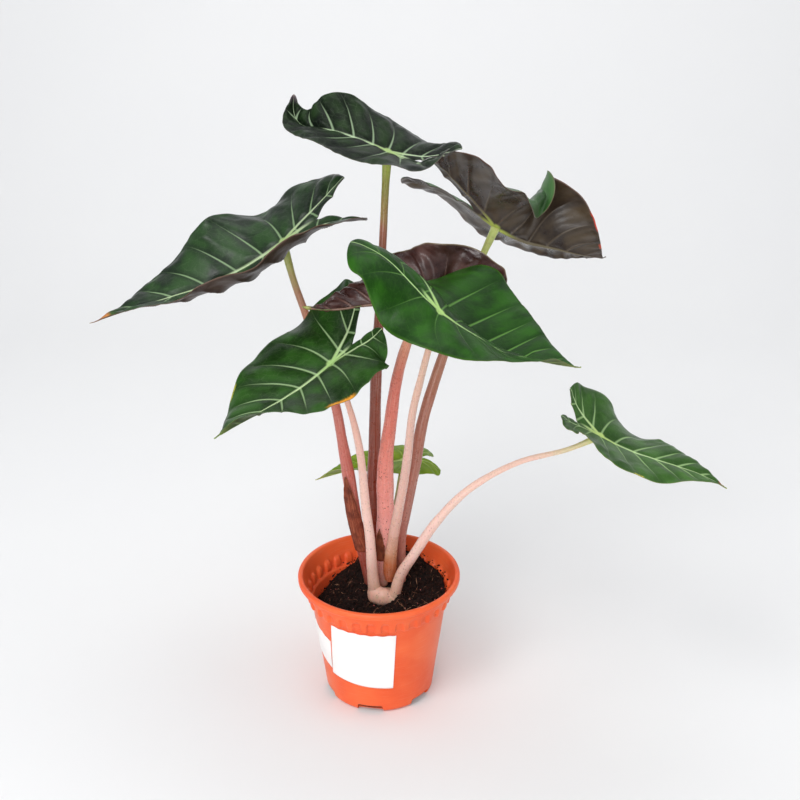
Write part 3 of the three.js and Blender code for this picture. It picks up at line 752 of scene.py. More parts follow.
def blade_points(blade, side, x, y):
    """Bends the flat points: x per row, y per row and column."""
    half = blade[side]
    reach = np.maximum(outer_margin(blade, x), inner_margin(blade, x))
    u, origin, across, up = spine(blade, side, x)
    fold, curl = between(half["fold"], u), between(half["curl"], u)
    phase = ROUND * blade["waves"] * x / blade["length"] + math.radians(half["phase"])
    ripple = half["wave"] * np.sin(phase)
    flap = blade.get("flap")
    bump = np.zeros_like(x)
    if flap and flap["side"] == side:
        bump = flap["turn"] * np.exp(-((u - flap["place"]) / flap["width"]) ** 2)
    out = np.zeros_like(y)
    rise = np.zeros_like(y)
    curl = curl * reach / blade["width"]
    for i in range(FOLD_STEPS):
        share = np.minimum(1, y * (i + 0.5) / FOLD_STEPS / np.maximum(reach, 1e-6)[:, None])
        angle = fold[:, None] + curl[:, None] * share + ripple[:, None] * share ** 2
        if flap:
            angle = angle + bump[:, None] * smoothstep((share - flap["start"]) / 0.25)
        out += np.cos(np.radians(angle)) * y / FOLD_STEPS
        rise += np.sin(np.radians(angle)) * y / FOLD_STEPS
    sign = 1 if side == "left" else -1
    return origin[:, None] + across[:, None] * (sign * out)[..., None] + up[:, None] * rise[..., None]


def turning(blade):
    """The rotation that puts a blade in its place: roll, then pitch, then heading."""
    roll, pitch, heading = (math.radians(blade[key]) for key in ("roll", "pitch", "heading"))
    return rotation(heading, 2) @ rotation(-pitch, 1) @ rotation(roll, 0)


# Veins

# q counts the side veins along the midrib and along the ribs of the lobes
FRONT_VEINS = 6
LOBE_VEINS = 4
VEIN_LEAN_TIP = 1.35
VEIN_LEAN_LOBE = 0.9
VEIN_BEND = 0.28
VEIN_STEP = 0.5

# Half widths of the drawn veins in millimetres, from their start to their end
MIDRIB_WIDTH = (2.5, 0.5)
LOBE_RIB_WIDTH = (2.1, 0.6)
SIDE_VEIN_WIDTH = (1.6, 0.5)


def lobe_rib(blade):
    """The angle that a lobe's rib makes with the midrib, and its length."""
    reach = LOBE_TIP * blade["width"]
    return math.atan2(reach, blade["lobes"]), math.hypot(reach, blade["lobes"])


def vein_count(blade, x, y):
    """For flat points with y from 0 up: the side veins passed, below 0 on the lobes."""
    length, lobes, width = blade["length"], blade["lobes"], blade["width"]
    rib_angle, rib_length = lobe_rib(blade)
    bent = x - VEIN_BEND * y * y / width * smoothstep(x / lobes / 0.5 + 1)
    start = np.maximum(bent, 0)
    for _ in range(14):
        lean = VEIN_LEAN_TIP * (np.maximum(start, 0) / length) ** 0.7
        start = 0.5 * start + 0.5 * np.maximum(bent - lean * y, 0)
    q_front = FRONT_VEINS * (np.maximum(start, 0) / length) ** 0.85
    place = np.maximum(-bent, 0)
    for _ in range(14):
        lean = VEIN_LEAN_LOBE * np.clip(place / rib_length, 0, 1) ** 0.7
        aim = (-bent - lean * np.abs(y - place * math.sin(rib_angle))) / math.cos(rib_angle)
        place = 0.5 * place + 0.5 * np.maximum(aim, 0)
    q_back = -LOBE_VEINS * np.clip(place / rib_length, 0, 1.2) ** 0.85
    return np.where(bent >= 0, q_front, q_back)


def vein_field(blade, x, y):
    """For flat points with y from 0 up: vein count, distance to the lobe's rib, vein spacing."""
    rib_angle, _ = lobe_rib(blade)
    q = vein_count(blade, x, y)
    slope_x = vein_count(blade, x + VEIN_STEP, y) - vein_count(blade, x - VEIN_STEP, y)
    slope_y = vein_count(blade, x, y + 2 * VEIN_STEP) - q
    gap = np.clip(2 * VEIN_STEP / np.maximum(np.hypot(slope_x, slope_y), 1e-4), 3, 90)
    along = -x * math.cos(rib_angle) + y * math.sin(rib_angle)
    off = x * math.sin(rib_angle) + y * math.cos(rib_angle)
    off = np.where(along >= 0, off, np.hypot(off, along))
    return q, off, gap


# Where a rolled half hides the midrib, the upper face's veins meet aside of it, on the roll: how far
# to the side, and how far along the blade the drawn midrib joins the real one
VEINS_ASIDE = {"leaf_6": (-42, 78)}


def drawn_across(name, blade, x, y):
    """How far a point lies from the midrib as drawn, in millimetres and scaled to the blade's width."""
    aside, rejoin = VEINS_ASIDE.get(name, (0, 1))
    middle = aside * (1 - np.clip(np.abs(x) / rejoin, 0, 1) ** 1.7)
    off = y - middle
    width = blade["width"]
    return off, off * np.where(off > 0, width / (width - middle), width / (width + middle))


# How much each blade swells between its veins, in millimetres, and how crinkled it is
LEAF_SURFACES = {
    "leaf_1": (2.1, 0.5), "leaf_2": (2.3, 0.5), "leaf_3": (1.9, 1.4), "leaf_4": (1.8, 1.7),
    "leaf_5": (1.3, 0.1), "leaf_6": (0.9, 0.05), "leaf_7": (1.0, 0.3), "leaf_8": (0.5, 0.2),
}
LEAF_ROWS_BACK = 56
LEAF_ROWS_FRONT = 116
LEAF_COLUMNS = 44
LEAF_THICKNESS = 0.62
EDGE_THICKNESS = 0.36
DRIP_START = 0.8
DRIP_TIP = 0.035
DRIP_HALF_WIDTH = 0.9
HOOKED_DRIP_TIP = 0.004
HOOKED_END = (4.5, 0.1)
PLEATS_PER_VEIN = 3
PLEAT_HEIGHT = 0.55
FLAT_ROUND_STALK = 14

# Ridges under the veins, the knot over the stalk and the groove over the midrib. A pair is the
# measure at a vein's end and how much more it is at its start.
MIDRIB_RIDGE_WIDTH = (0.6, 1.1)
MIDRIB_RIDGE_HEIGHT = (0.25, 1.25)
LOBE_RIDGE_WIDTH = (0.6, 0.9)
LOBE_RIDGE_HEIGHT = 1.1
SIDE_RIDGE_WIDTH = 0.9
SIDE_RIDGE_HEIGHT = 0.42
KNOT_HEIGHT = 1.1
KNOT_SPREAD = 22
GROOVE_DEPTH = 0.22
GROOVE_WIDTH = 0.8


def drip_tip(blade):
    return HOOKED_DRIP_TIP if "hook" in blade else DRIP_TIP


def leaf_rows(blade):
    back = -blade["lobes"] * np.cos(np.arange(LEAF_ROWS_BACK) / LEAF_ROWS_BACK * math.pi / 2)
    share = (np.arange(LEAF_ROWS_FRONT + 1) / LEAF_ROWS_FRONT) ** 0.95
    return np.concatenate([back, blade["length"] * (1 + drip_tip(blade)) * share])


def leaf_sheet(name, blade):
    """The welded middle sheet of a blade, with flat coordinates and vein field for both its faces."""
    x = leaf_rows(blade)
    sheets, faces, fields = [], [], []
    seed = sum(map(ord, name))
    for side in ("left", "right"):
        inner = inner_margin(blade, x)
        end = drip_tip(blade) * blade["length"]
        tail = np.where(x > DRIP_START * blade["length"], DRIP_HALF_WIDTH, 0)
        tail = tail * np.clip((blade["length"] + end - x) / end, 0.05, 1)
        if "hook" in blade:
            half_width, share = HOOKED_END
            left = np.clip((blade["length"] + end - x) / (share * blade["length"]), 0, 1)
            tail = np.where(left < 1, half_width * np.sqrt(left * (2 - left)), tail)
        outer = np.maximum(np.maximum(outer_margin(blade, x), inner), tail)
        share = (np.arange(LEAF_COLUMNS + 1) / LEAF_COLUMNS)[None, :]
        share = np.where(inner[:, None] > 0, share, share ** 1.18)
        y = inner[:, None] + (outer - inner)[:, None] * share
        points = blade_points(blade, side, x, y)
        grid = np.broadcast_to(x[:, None], y.shape)
        start = sum(len(part) for part in sheets)
        sheets.append(points.reshape(-1, 3))
        sign = 1 if side == "left" else -1
        margin = np.where(outer[:, None] > 1.5, y / np.maximum(outer, 1e-6)[:, None], 0.8)
        drawn, scaled = drawn_across(name, blade, grid, sign * y)
        under = (grid, sign * y, margin, *vein_field(blade, grid, y))
        upper = (grid, drawn, margin, *vein_field(blade, grid, np.abs(scaled)))
        fields.append(np.stack(under + upper, axis=2).reshape(-1, 12))
        quads = grid_faces(len(x), LEAF_COLUMNS + 1) + start
        faces.append(quads if side == "right" else quads[:, ::-1])
    points = np.vstack(sheets)
    kept, faces = weld(points, np.vstack(faces))
    under, upper = np.split(np.vstack(fields)[kept], 2, axis=1)
    points = points[kept] @ turning(blade).T + np.array(blade["at"])
    swell, crinkle = LEAF_SURFACES[name]
    return relief(points, upper, faces, seed, swell, crinkle), upper, under, faces


def relief(points, field, faces, seed, swell, crinkle):
    """Pillows between the veins, and small waves that grow towards the margin."""
    normals = point_normals(points, faces)
    x, y, margin, q, off, gap = field.T
    pillow = np.sin(math.pi * (q % 1)) ** 0.8 * np.clip(gap / 16, 0.3, 1.2)
    pillow = pillow * smoothstep(np.abs(y) / 6) * smoothstep(np.abs(off) / 6)
    pillow = pillow * smoothstep((1 - margin) / 0.25)
    ripple = waviness(x, y, 0.16, seed) * 0.8 + waviness(x, y, 0.42, seed + 3) * 0.22
    pleats = np.sin(math.pi * PLEATS_PER_VEIN * q + 2.2 * waviness(x, y, 0.1, seed + 5))
    shift = swell * pillow + ripple * (0.25 + 0.9 * margin ** 3) * (1 + crinkle)
    calm = 1 - 0.6 * smoothstep((margin - 0.75) / 0.25)
    shift = shift + PLEAT_HEIGHT * crinkle * pleats * smoothstep((margin - 0.2) / 0.4) * calm
    shift = shift * smoothstep(np.hypot(x, y) / FLAT_ROUND_STALK)
    return points + normals * shift[:, None]


def add_leaf(name, top, under, slot):
    blade = BLADES[name]
    points, upper, lower, faces = leaf_sheet(name, blade)
    x, y, margin, q, off, gap = lower.T
    thickness = EDGE_THICKNESS + (LEAF_THICKNESS - EDGE_THICKNESS) * smoothstep((1 - margin) / 0.1)
    fade = np.clip(1 - np.maximum(x, 0) / blade["length"], 0, 1)
    behind = smoothstep((x + 0.8 * SINUS_START * blade["length"]) / 6)
    midrib = np.exp(-(y / growing(MIDRIB_RIDGE_WIDTH, fade)) ** 2)
    midrib = midrib * growing(MIDRIB_RIDGE_HEIGHT, fade ** 0.8) * behind
    lobe_fade = np.clip(1 + np.minimum(x, 0) / blade["lobes"], 0, 1)
    rib = np.exp(-(off / growing(LOBE_RIDGE_WIDTH, lobe_fade)) ** 2)
    rib = rib * LOBE_RIDGE_HEIGHT * lobe_fade ** 0.7
    side = (0.5 - np.abs(q % 1 - 0.5)) * gap
    side = np.exp(-(side / SIDE_RIDGE_WIDTH) ** 2) * SIDE_RIDGE_HEIGHT * np.clip(1 - margin, 0, 0.5) * 2
    knot = np.exp(-(x * x + y * y) / KNOT_SPREAD) * KNOT_HEIGHT
    down = thickness / 2 + np.maximum(np.maximum(midrib, rib), side) + knot
    groove = GROOVE_DEPTH * np.exp(-(upper[:, 1] / GROOVE_WIDTH) ** 2) * behind
    shell, shell_faces, kinds = sheet_shell(points, faces, thickness / 2 - groove, down)
    fields = np.vstack([upper, lower])
    attributes = {"leaf_flat": fields[:, :3], "leaf_vein": fields[:, 3:]}
    piece = add_piece(name + "_blade", shell, shell_faces, [top, under], kinds, attributes)
    stand_for(piece, slot, name)


def line(shader, distance, half_width):
    """1 on a vein and 0 away from it. half_width is a socket, in millimetres."""
    return shader.fade(shader.math("DIVIDE", distance, half_width), 1.0, 0.15)


def leaf_material(name, blade, look, below=False):
    """The skin of one face of a blade. look is an entry of LEAF_LOOKS, below marks the under face."""
    shader = Shader(name)
    flat = shader.attribute("leaf_flat")
    x, y, margin = shader.split(flat)
    q, off, gap = shader.split(shader.attribute("leaf_vein"))
    join = SINUS_START * blade["length"]
    front = shader.math("DIVIDE", shader.math("MAXIMUM", x, 0), blade["length"])
    back = shader.math("DIVIDE", shader.math("MAXIMUM", shader.times(x, -1), 0), blade["lobes"])
    midrib, rib = shader.math("ABSOLUTE", y), shader.math("ABSOLUTE", off)
    off_centre = shader.math("ABSOLUTE", shader.math("SUBTRACT", shader.math("FRACT", q), 0.5))
    away = shader.times(shader.math("SUBTRACT", 0.5, off_centre), gap)
    main = line(shader, midrib, shader.fade(front, 0, 1, *MIDRIB_WIDTH))
    main = shader.times(main, shader.fade(x, -join, -0.5 * join))
    main = shader.math("MAXIMUM", main, line(shader, rib, shader.fade(back, 0, 1, *LOBE_RIB_WIDTH)))
    sides = line(shader, away, shader.fade(margin, 0, 0.9, *SIDE_VEIN_WIDTH))
    sides = shader.times(sides, shader.fade(margin, 0.9, 0.3, 0.06, 0.8))
    close = shader.math("MINIMUM", shader.math("MINIMUM", midrib, rib), away)

    cloud = shader.noise(flat, 0.035, 3, 0.5, 0.3)
    mottle = shader.noise(flat, 0.5, 4, 0.6)
    shade = shader.mix(shader.fade(cloud, 0.36, 0.64), tone(look["deep"]), tone(look["body"]))
    # Painted shade: the blade is darkened toward its deep colour beside the veins and ribs, where it dips
    # between its pillows.
    shade = shader.tint(shade, look["deep"], close, 6.5, 0.8, look.get("halo", 0.62))
    shade = shader.tint(shade, look["cast"], mottle, 0.45, 0.8, 0.22)
    shade = shader.tint(shade, look["edge"], margin, 0.965, 1.0, 0.6)

    web = shader.math("SUBTRACT", shader.noise(flat, 0.22, 2), 0.5)
    bent = shader.join(
        shader.math("MULTIPLY_ADD", web, 6, x), shader.math("MULTIPLY_ADD", web, -5, y), 0,
    )
    net = shader.cells(bent, 0.16, "DISTANCE_TO_EDGE")
    fine_net = shader.cells(bent, 0.6, "DISTANCE_TO_EDGE")
    shade = shader.tint(shade, look["vein"], net, 0.05, 0.0, 0.05)
    shade = shader.mix(sides, shade, tone(look["vein"]))
    shade = shader.mix(main, shade, tone(look["rib"]))
    squares = [shader.times(value, value) for value in (x, y)]
    near = shader.math("SQRT", shader.math("ADD", *squares))
    knot = shader.math("MAXIMUM", main, shader.fade(near, 5, 2.5))
    shade = shader.mix(shader.times(shader.fade(near, 24, 3), knot), shade, tone(look["heart"]))
    shade = shader.tint(
        shade, look["tip"], front, look.get("tip_start", 0.85), 1.0, look.get("tip_mix", 0.5),
    )
    for side, centre, reach, depth, colour in look.get("spots", ()):
        patch = shader.math("ABSOLUTE", shader.math("SUBTRACT", x, centre))
        patch = shader.fade(patch, reach, 0.5 * reach)
        inward = shader.math("MULTIPLY_ADD", shader.math("SUBTRACT", mottle, 0.5), 0.1, margin)
        patch = shader.times(patch, shader.fade(inward, 1 - depth, 1 - 0.4 * depth))
        patch = shader.times(patch, shader.fade(shader.times(y, side), 0, 1))
        shade = shader.mix(patch, shade, tone(colour))

    way = 1.0 if below else -1.0
    height = shader.times(shader.math("MAXIMUM", main, sides), way)
    height = shader.math("MULTIPLY_ADD", shader.fade(net, 0.0, 0.4), -0.15 * way, height)
    height = shader.math("MULTIPLY_ADD", shader.fade(fine_net, 0.0, 0.35), -0.1 * way, height)
    grain = shader.bump(shader.noise(flat, 4.5, 3), 0.00004, 0.4)
    return shader.finish(
        Base_Color=shade,
        Roughness=shader.fade(cloud, 0.3, 0.75, look["rough"] - 0.05, look["rough"] + 0.08),
        Normal=shader.bump(height, 0.0005, 0.7, grain),
        Specular_IOR_Level=look.get("gloss", 0.3),
    )


LEAF_TONES = ("deep", "body", "vein", "rib", "edge", "cast", "tip", "heart")


def leaf_face(codes, **rest):
    """The look of one face of a leaf: its colours in the order of LEAF_TONES, and the rest."""
    return {**dict(zip(LEAF_TONES, codes.split())), **rest}


# spots: side (1 left, -1 right), place along the midrib, half length, depth from the margin, colour
LEAF_LOOKS = {
    "leaf_1": {
        "slot": "blade_dark",
        "top": leaf_face(
            "0b1c0c 25441c 86a276 b4c89c 2c4326 2c4626 6c7a34 9db674",
            rough=0.36, tip_start=0.88,
            spots=(
                (1, 168, 9, 2.2, "b5763c"), (-1, 168, 9, 2.2, "a86a36"),
            ),
        ),
        "under": leaf_face(
            "2e201b 44352d 6d6150 8a8a68 6b5040 4f4338 9a6a44 8f9a50",
            rough=0.42, tip_start=0.9,
        ),
    },
    "leaf_2": {
        "slot": "blade_dark",
        "top": leaf_face(
            "060e07 1c3014 8ea482 b0c4a0 3a4f2e 20381c 7c7078 9db674",
            rough=0.36, gloss=0.12, halo=0.8, tip_start=0.92,
        ),
        "under": leaf_face(
            "4a4a44 61605a 8c8c78 9c9c80 63564c 6d6c66 a0868c 9aa550",
            rough=0.42, tip_start=0.62, tip_mix=0.8,
        ),
    },
    "leaf_3": {
        "slot": "blade_dark",
        "top": leaf_face(
            "24431f 3c6431 86a06a 93ae78 5b5a3a 466c3e 4c6438 a0b85e",
            rough=0.36,
        ),
        "under": leaf_face(
            "261b15 473a29 55493a 6a6048 6a4436 564a3c 5b4c40 a4b24a",
            rough=0.3, gloss=0.42,
            spots=(
                (-1, 84, 9, 0.05, "c23a24"), (-1, 103, 3, 0.2, "b04428"),
            ),
        ),
    },
    "leaf_4": {
        "slot": "blade_dark",
        "top": leaf_face(
            "1c2e14 2f4522 6c7e4c 8aa468 5a5a34 384f2c 98b548 a0b85e",
            rough=0.36, tip_start=0.94, tip_mix=0.9,
        ),
        "under": leaf_face(
            "2a1310 543630 5e4037 6e5040 8a7a5a 664740 98a050 7c7a48",
            rough=0.3, gloss=0.42, tip_start=0.95, tip_mix=0.9,
        ),
    },
    "leaf_5": {
        "slot": "blade_green",
        "top": leaf_face(
            "122c08 2b5418 9cba84 c0d8a2 3e6220 355e22 8a9c4c a6ca7c",
            rough=0.34, gloss=0.22, tip_start=0.95, tip_mix=0.9,
            spots=(
                (1, 34, 19, 0.09, "e0962c"), (-1, 70, 8, 0.05, "a8a83a"), (1, 129, 5, 2.5, "b07a62"),
                (-1, 129, 5, 2.5, "b07a62"),
            ),
        ),
        "under": leaf_face(
            "223a14 34521f 6a8450 80985c 46622a 3c5a28 8a9c4c b3c46c",
            rough=0.5,
        ),
    },
    "leaf_6": {
        "slot": "blade_green",
        "top": leaf_face(
            "103204 235408 5f8f40 a8ca86 3c6618 2b5c12 5c8a2c a8cc76",
            rough=0.36, gloss=0.15, tip_start=0.95,
        ),
        "under": leaf_face(
            "36481f 4a5c2c 7a8a4e 8c9c5c 6a7434 546636 8a9050 b3c46c",
            rough=0.5,
        ),
    },
    "leaf_7": {
        "slot": "blade_green",
        "top": leaf_face(
            "24480f 3d6824 9abc7c bcd89c 5c8034 4a7634 7a6c30 c0d880",
            rough=0.34, gloss=0.22, tip_start=0.94,
            spots=(
                (1, 108, 5, 2.5, "8a3a26"), (-1, 108, 5, 2.5, "5a2018"), (-1, 40, 5, 0.05, "b8b048"),
            ),
        ),
        "under": leaf_face(
            "4c5c2c 5e6f3a 98a568 a8b578 8a8c48 6a7846 8a9050 c2d07c",
            rough=0.5,
        ),
    },
    "leaf_8": {
        "slot": "blade_young",
        "top": leaf_face(
            "668806 86a20c a0b63c a8bc60 7c9420 7e9e18 a8a552 c0d480",
            rough=0.42, gloss=0.12,
        ),
        "under": leaf_face(
            "748c2c 869c3a b0c070 d0dc98 b8b56a a8b568 b0a862 ccd494",
            rough=0.45,
        ),
    },
}


def add_leaves():
    for name, look in LEAF_LOOKS.items():
        blade = BLADES[name]
        top = leaf_material(name + "_top", blade, look["top"])
        under = leaf_material(name + "_under", blade, look["under"], below=True)
        add_leaf(name, top, under, look["slot"])


# Stalks

STALK_ROWS = 200
STALK_SIDES = 40
STALK_TOP_ROWS = 6
STALK_FLARE = 0.5
STALK_SOFTENING = 60
GAP_UNDER_BLADE = 0.25
WRINKLES_FOOT = 138
WRINKLES_TOP = 158

# Each stalk's slot, how speckled its skin is, and its colours as [share of its length, colour] from
# the foot to the blade
STALK_LOOKS = {
    "petiole_1": ("stalk_dark", 0.45, (
        (0, "8c4436"), (0.2, "b85a4c"), (0.4, "c96e60"), (0.7, "c0705f"), (0.86, "a8785a"),
        (0.94, "a3a35a"), (1, "b4c464"),
    )),
    "petiole_2": ("stalk_dark", 0.5, (
        (0, "8a3e2e"), (0.3, "8c402c"), (0.65, "86452f"), (0.84, "8a5036"), (0.92, "8f8c40"),
        (1, "b0c850"),
    )),
    "petiole_3": ("stalk_dark", 0.45, (
        (0, "c09080"), (0.1, "b8786a"), (0.5, "a86a54"), (0.82, "a87a5c"), (0.92, "aab060"),
        (1, "bccc74"),
    )),
    "petiole_4": ("stalk_pink", 0.7, (
        (0, "b08a78"), (0.06, "e0a094"), (0.16, "f8b2aa"), (0.3, "f09c90"), (0.5, "de7c6a"),
        (0.7, "cc6a58"), (0.88, "c48464"), (1, "a9ad62"),
    )),
    "petiole_5": ("stalk_pale", 0.4, (
        (0, "d8b49c"), (0.2, "f2cfc2"), (0.7, "e8b8a8"), (0.95, "dca28a"), (0.985, "d4c886"),
        (1, "c3cc7c"),
    )),
    "petiole_6": ("stalk_pale", 0.4, (
        (0, "a85a34"), (0.06, "bc7048"), (0.1, "c8926e"), (0.16, "e0b6a6"), (0.5, "dab0a2"),
        (0.93, "cca68c"), (1, "b9c66c"),
    )),
    "petiole_7": ("stalk_pale", 0.4, (
        (0, "d8b49c"), (0.2, "eecbbf"), (0.8, "e8c0ae"), (0.95, "d4cc94"), (1, "c0d078"),
    )),
    "petiole_8": ("stalk_pale", 0.15, (
        (0, "d6bd9c"), (0.4, "d9c69a"), (1, "c6cf80"),
    )),
}


def stalk_material(name, speckle, run):
    shader = Shader(name + "_skin")
    along, around, _ = shader.split(shader.attribute("stalk_place"))
    place = shader.place()
    drift = shader.math("SUBTRACT", shader.noise(place, 60, 3), 0.5)
    skin = shader.ramp(shader.math("MULTIPLY_ADD", drift, 0.1, along), run)
    streaks = shader.streaks(along, around, (7, 9), 1.6, 4)
    skin = shader.tint(skin, "ffdcd0", streaks, 0.45, 0.75, 0.2)
    dots = shader.noise(shader.stretch(place, (1, 1, 0.35)), 1300, 2, 0.5)
    skin = shader.tint(skin, "5c2f28", dots, 0.6, 0.72, speckle * 0.6)
    specks = shader.fade(shader.cells(shader.stretch(place, (1, 1, 0.6)), 420), 0.26, 0.14)
    speckled = shader.fade(shader.noise(place, 90, 2), 0.42, 0.6, 0.1, 0.95)
    speckled = shader.times(speckled, shader.fade(along, 0.1, 0.7, speckle * 1.5, speckle * 0.6))
    skin = shader.mix(shader.times(specks, speckled), skin, tone("6a3226"))
    blotch = shader.noise(place, 180, 3, 0.6)
    skin = shader.tint(skin, "6e3e34", blotch, 0.62, 0.75, speckle * 0.35)
    ridges = shader.streaks(along, around, (4, 26), 1.0, 2)
    return shader.finish(
        Base_Color=skin,
        Roughness=shader.fade(blotch, 0.35, 0.7, 0.26, 0.38),
        Normal=shader.bump(ridges, 0.00018, 0.45, shader.bump(dots, 0.00006, 0.4)),
        Subsurface_Weight=0.15,
        Subsurface_Scale=0.003,
        Specular_IOR_Level=0.5,
    )


def stalk_swell(name, shares, heights, angles):
    """Small changes of a stalk's radius: soft lumps, and the wrinkles across the pink one."""
    shares, heights = shares[:, None], heights[:, None]
    swell = 1 + (0.02 * np.sin(shares * 31 + len(name)) + 0.015 * np.sin(shares * 73 + 2))
    swell = swell + 0.012 * np.sin(angles * 5 + shares * 3)
    if name == "petiole_4":
        wrinkled = smoothstep((WRINKLES_TOP - heights) / 14) * smoothstep((heights - WRINKLES_FOOT) / 6)
        folds = np.sin(heights * 1.9 + 0.8 * np.sin(angles * 2 + 1))
        swell = swell + 0.035 * wrinkled * folds
    return swell


def meet_blade(points, blade):
    """Cuts a stalk's top off flush under the folded blade that it carries."""
    local = (points - np.array(blade["at"])) @ turning(blade)
    left, right = (between(blade[side]["fold"], 0.0) for side in ("left", "right"))
    fold = np.radians(np.clip(np.where(local[:, 1] >= 0, left, right), -70, 78))
    slope = math.radians(between(blade["arch"], 0.0))
    ceiling = np.tan(fold) * np.abs(local[:, 1]) + math.tan(slope) * local[:, 0]
    local[:, 2] = np.minimum(local[:, 2], ceiling - GAP_UNDER_BLADE)
    return local @ turning(blade).T + np.array(blade["at"])


def add_stalk(name, slot, speckle, run):
    blade = BLADES[name.replace("petiole", "leaf")]
    shares = np.linspace(0, 1, STALK_ROWS)
    centres, radii = course_points(STALKS[name], shares)
    radii = soften(radii, STALK_SOFTENING)
    radii[-STALK_TOP_ROWS:] += np.linspace(0, STALK_FLARE, STALK_TOP_ROWS)
    angles = np.arange(STALK_SIDES) * ROUND / STALK_SIDES
    reach = radii[:, None] * stalk_swell(name, shares, centres[:, 2], angles)
    points = np.vstack([rings_round(centres, angles, reach), centres[[0]], centres[[-1]]])
    top = STALK_ROWS // 2 * STALK_SIDES
    points[top:] = meet_blade(points[top:], blade)
    length = np.cumsum(np.linalg.norm(np.diff(centres, axis=0, prepend=centres[:1]), axis=1))
    place = np.zeros((len(points), 3))
    place[:-2, 0] = np.repeat(length / length[-1], STALK_SIDES)
    place[:-2, 1] = np.tile(np.abs(angles / math.pi - 1), STALK_ROWS)
    place[-1, 0] = 1
    piece = add_piece(
        name + "_stalk", points, tube_faces(STALK_ROWS, STALK_SIDES),
        [stalk_material(name, speckle, run)], attributes={"stalk_place": place},
    )
    stand_for(piece, slot, name)


# The crown

CROWN_VOXEL = 0.9
CROWN_RELAX_STEPS = 14

# The swollen feet of the stalks, as [centre, radii] of balls that are melted into one body
CROWN_BALLS = [
    ((6, 4, 88), (17, 14, 11)),
    ((-3, -1, 97), (8.0, 7.6, 11)),
    ((-4.4, -0.2, 99), (6.9, 6.8, 7)),
    ((4, -4.6, 96.5), (9.6, 7.2, 10)),
    ((8, -5, 96), (7.4, 6.6, 7)),
    ((13.6, -6, 97), (6.3, 6.2, 7)),
]


def ball(centre, radii, rows=24, sides=40):
    polar = np.linspace(0, math.pi, rows)[1:-1]
    turn = np.arange(sides) * ROUND / sides
    x = np.sin(polar)[:, None] * np.cos(turn)
    y = np.sin(polar)[:, None] * np.sin(turn)
    z = np.broadcast_to(-np.cos(polar)[:, None], x.shape)
    points = np.stack([x, y, z], axis=2).reshape(-1, 3)
    points = np.vstack([points, [[0, 0, -1], [0, 0, 1]]])
    return points * np.array(radii) + np.array(centre), tube_faces(rows - 2, sides)


def crown_material():
    shader = Shader("crown_skin")
    place = shader.place()
    skin = shader.ramp(shader.noise(place, 70, 4), ((0.3, "dbae9a"), (0.5, "e8bdaa"), (0.7, "e4bfa6")))
    skin = shader.tint(skin, "3a211a", shader.noise(place, 420, 3, 0.65), 0.6, 0.72, 0.75)
    height = shader.split(place)[2]
    green = shader.fade(shader.noise(place, 90, 3), 0.45, 0.62)
    green = shader.times(green, shader.fade(height, 0.104, 0.099, 0, 0.45))
    skin = shader.mix(green, skin, tone("b8b284"))
    skin = shader.tint(skin, "3b241c", height, 0.096, 0.09, 0.8)
    return shader.finish(
        Base_Color=skin,
        Roughness=0.45,
        Normal=shader.bump(shader.noise(place, 260, 4), 0.0003, 0.4),
        Subsurface_Weight=0.12,
        Subsurface_Scale=0.003,
    )


def add_crown():
    points, faces = [], []
    for centre, radii in CROWN_BALLS:
        add_part(points, faces, *ball(centre, radii))
    piece = add_piece("crown_body", points, faces, [crown_material()])
    melt = piece.modifiers.new("melt", "REMESH")
    melt.mode = "VOXEL"
    melt.voxel_size = CROWN_VOXEL * MM
    melt.use_smooth_shade = True
    relax = piece.modifiers.new("relax", "SMOOTH")
    relax.factor = 0.6
    relax.iterations = CROWN_RELAX_STEPS
    bake_modifiers(piece)
    stand_for(piece, "crown_tissue", "crown")


# The peat

PEAT_MIDDLE = 92
PEAT_LUMP = 0.8
HEAP_PLACE = (17.5, -9.5)
HEAP_HEIGHT = 9
HEAP_WIDTH = 6.3
PEAT_AT_WALL = [
    (0, 99), (20, 104), (45, 105), (55, 110), (80, 111), (104, 110), (114, 98), (135, 91),
    (150, 85), (180, 83), (225, 86), (270, 92), (315, 95), (360, 99),
]
PEAT_SIDE = [(2.5, 46.5), (5, 48.6), (95, 60.5), (97, 60.9), (100, 61.8), (104, 62.7), (118, 64.0)]
PEAT_SECTORS = 300
PEAT_RINGS = 84
CRUMBS = 2600
WALL_CRUMBS = 420
GRANULES = 46
FIBRES = 190
FIBRE_STEPS = 8
FIBRE_REACH = 58
FIBRE_LENGTHS = (3, 13)
FIBRE_RADII = (0.12, 0.3)

# Sizes of the loose lumps: the least, and how much more the largest
CRUMB_SIZES = (0.5, 1.9)
WALL_CRUMB_SIZES = (0.35, 1.1)
GRANULE_SIZES = (0.6, 0.4)


def peat_top(angle, share):
    wall = np.interp(np.degrees(angle) % 360, *zip(*PEAT_AT_WALL))
    lumps = np.sin(5 * angle + 1.3 + 4 * share) + 0.6 * np.sin(9 * angle - 7 * share)
    return PEAT_MIDDLE + (wall - PEAT_MIDDLE) * share ** 1.6 + PEAT_LUMP * lumps * share * (1.2 - share)


def peat_reach(height):
    return np.interp(height, *zip(*PEAT_SIDE))


def peat_height(x, y):
    """The height of the peat at a place, with its small lumps."""
    angle = np.arctan2(y, x)
    share = np.minimum(1, np.hypot(x, y) / peat_reach(peat_top(angle, 1)))
    rough = 1.7 * waviness(x, y, 0.42, 4) + 1.2 * waviness(x, y, 1.05, 7)
    aside = np.hypot(x - HEAP_PLACE[0], y - HEAP_PLACE[1])
    heap = HEAP_HEIGHT * np.exp(-(aside / HEAP_WIDTH) ** 2)
    return peat_top(angle, share) + heap + rough * (0.3 + 0.7 * smoothstep((1 - share) / 0.1))


def peat_at(x, y):
    """The peat's height at one place."""
    return float(peat_height(np.array([x]), np.array([y]))[0])


